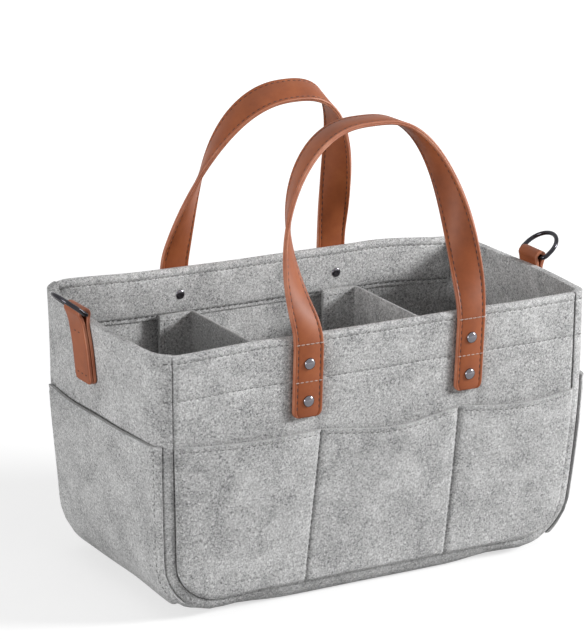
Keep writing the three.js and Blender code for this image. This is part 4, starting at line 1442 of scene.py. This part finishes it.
# Camera, lamps and floor
cameraSet = {
    "place": (-1174.54, -1897.84, 857.88),
    "yaw": 31.389,  # degrees, turned to the right from the +y axis
    "pitch": 17.398,  # down
    "roll": 1.376,
    "lens": 202.1,
    "sensor": 36,
    "clip": 20000,
}


def addCamera():
    yaw, pitch, roll = [math.radians(cameraSet[k]) for k in ("yaw", "pitch", "roll")]
    forward = Vector((math.sin(yaw) * math.cos(pitch), math.cos(yaw) * math.cos(pitch), -math.sin(pitch)))
    level = Vector((math.cos(yaw), -math.sin(yaw), 0))
    upright = level.cross(forward)
    right = level * math.cos(roll) + upright * math.sin(roll)
    up = upright * math.cos(roll) - level * math.sin(roll)
    lens = bpy.data.cameras.new("camera")
    lens.lens = cameraSet["lens"]
    lens.sensor_width = cameraSet["sensor"]
    lens.clip_end = cameraSet["clip"] * mm
    camera = bpy.data.objects.new("camera", lens)
    turn = Matrix((right, up, -forward)).transposed().to_4x4()
    camera.matrix_world = Matrix.Translation(Vector(cameraSet["place"]) * mm) @ turn
    bpy.context.collection.objects.link(camera)
    bpy.context.scene.camera = camera


lampSet = {
    "key": {"place": (2150, -1250, 1150), "size": 800, "power": 89},
    "side": {"place": (-2250, -500, 440), "size": 900, "power": 31},
    "top": {"place": (-100, 300, 2500), "size": 1500, "power": 6},
}
aimHeight = 120


def addLamps():
    for name, s in lampSet.items():
        light = bpy.data.lights.new(name, "AREA")
        light.shape = "DISK"
        light.size = s["size"] * mm
        light.energy = s["power"]
        lamp = bpy.data.objects.new(name, light)
        lamp.location = Vector(s["place"]) * mm
        way = Vector((0, 0, aimHeight * mm)) - lamp.location
        lamp.rotation_euler = way.to_track_quat("-Z", "Y").to_euler()
        bpy.context.collection.objects.link(lamp)


worldSet = {
    "tone": "#f6f6f6",
    "ambient": 0.32,
    "floorSize": 12000,
    "floorTone": "#acacac",
    "floorRoughness": 0.9,
    "nearGlow": 0.66,  # round the object, so that its shadow stays
    "farGlow": 1,
    "nearReach": 500,
    "farReach": 1500,
}


def seenDirectly(tree):
    rays = addNode(tree, "ShaderNodeLightPath").outputs
    near = addMath(tree, "MAXIMUM", rays["Is Camera Ray"], rays["Is Glossy Ray"])
    return addMath(tree, "MAXIMUM", near, rays["Is Transmission Ray"])


def addWorld():
    world = bpy.data.worlds.new("studio")
    world.use_nodes = True
    tree = world.node_tree
    ambient = tree.nodes["Background"]
    ambient.inputs["Color"].default_value = colour(worldSet["tone"])
    ambient.inputs["Strength"].default_value = worldSet["ambient"]
    white = addNode(tree, "ShaderNodeBackground", {"Color": (1, 1, 1, 1), "Strength": 1})
    mix = addNode(tree, "ShaderNodeMixShader", {
        0: seenDirectly(tree), 1: ambient.outputs[0], 2: white.outputs[0]})
    tree.links.new(mix.outputs[0], tree.nodes["World Output"].inputs["Surface"])
    bpy.context.scene.world = world


def addFloor():
    bpy.ops.object.select_all(action="DESELECT")
    bpy.ops.mesh.primitive_plane_add(size=worldSet["floorSize"] * mm, location=(0, 0, 0))
    floor = bpy.context.object
    floor.name = "floor"
    material, tree, shader, place = newMaterial("paleFloor", {
        "Base Color": colour(worldSet["floorTone"]), "Roughness": worldSet["floorRoughness"],
        "Specular IOR Level": 0, "Emission Color": (1, 1, 1, 1),
    })
    away = addNode(tree, "ShaderNodeVectorMath", {0: place}, operation="LENGTH")
    level = addNode(tree, "ShaderNodeMapRange", {
        "Value": away.outputs["Value"],
        "From Min": worldSet["nearReach"] * mm, "From Max": worldSet["farReach"] * mm,
        "To Min": worldSet["nearGlow"], "To Max": worldSet["farGlow"],
    })
    glow = addMath(tree, "MULTIPLY", seenDirectly(tree), level.outputs["Result"])
    tree.links.new(glow, shader.inputs["Emission Strength"])
    floor.data.materials.append(material)


addCamera()
addLamps()
addWorld()
addFloor()
bpy.context.scene.view_settings.view_transform = "Standard"
print("camera, lamps and floor made")
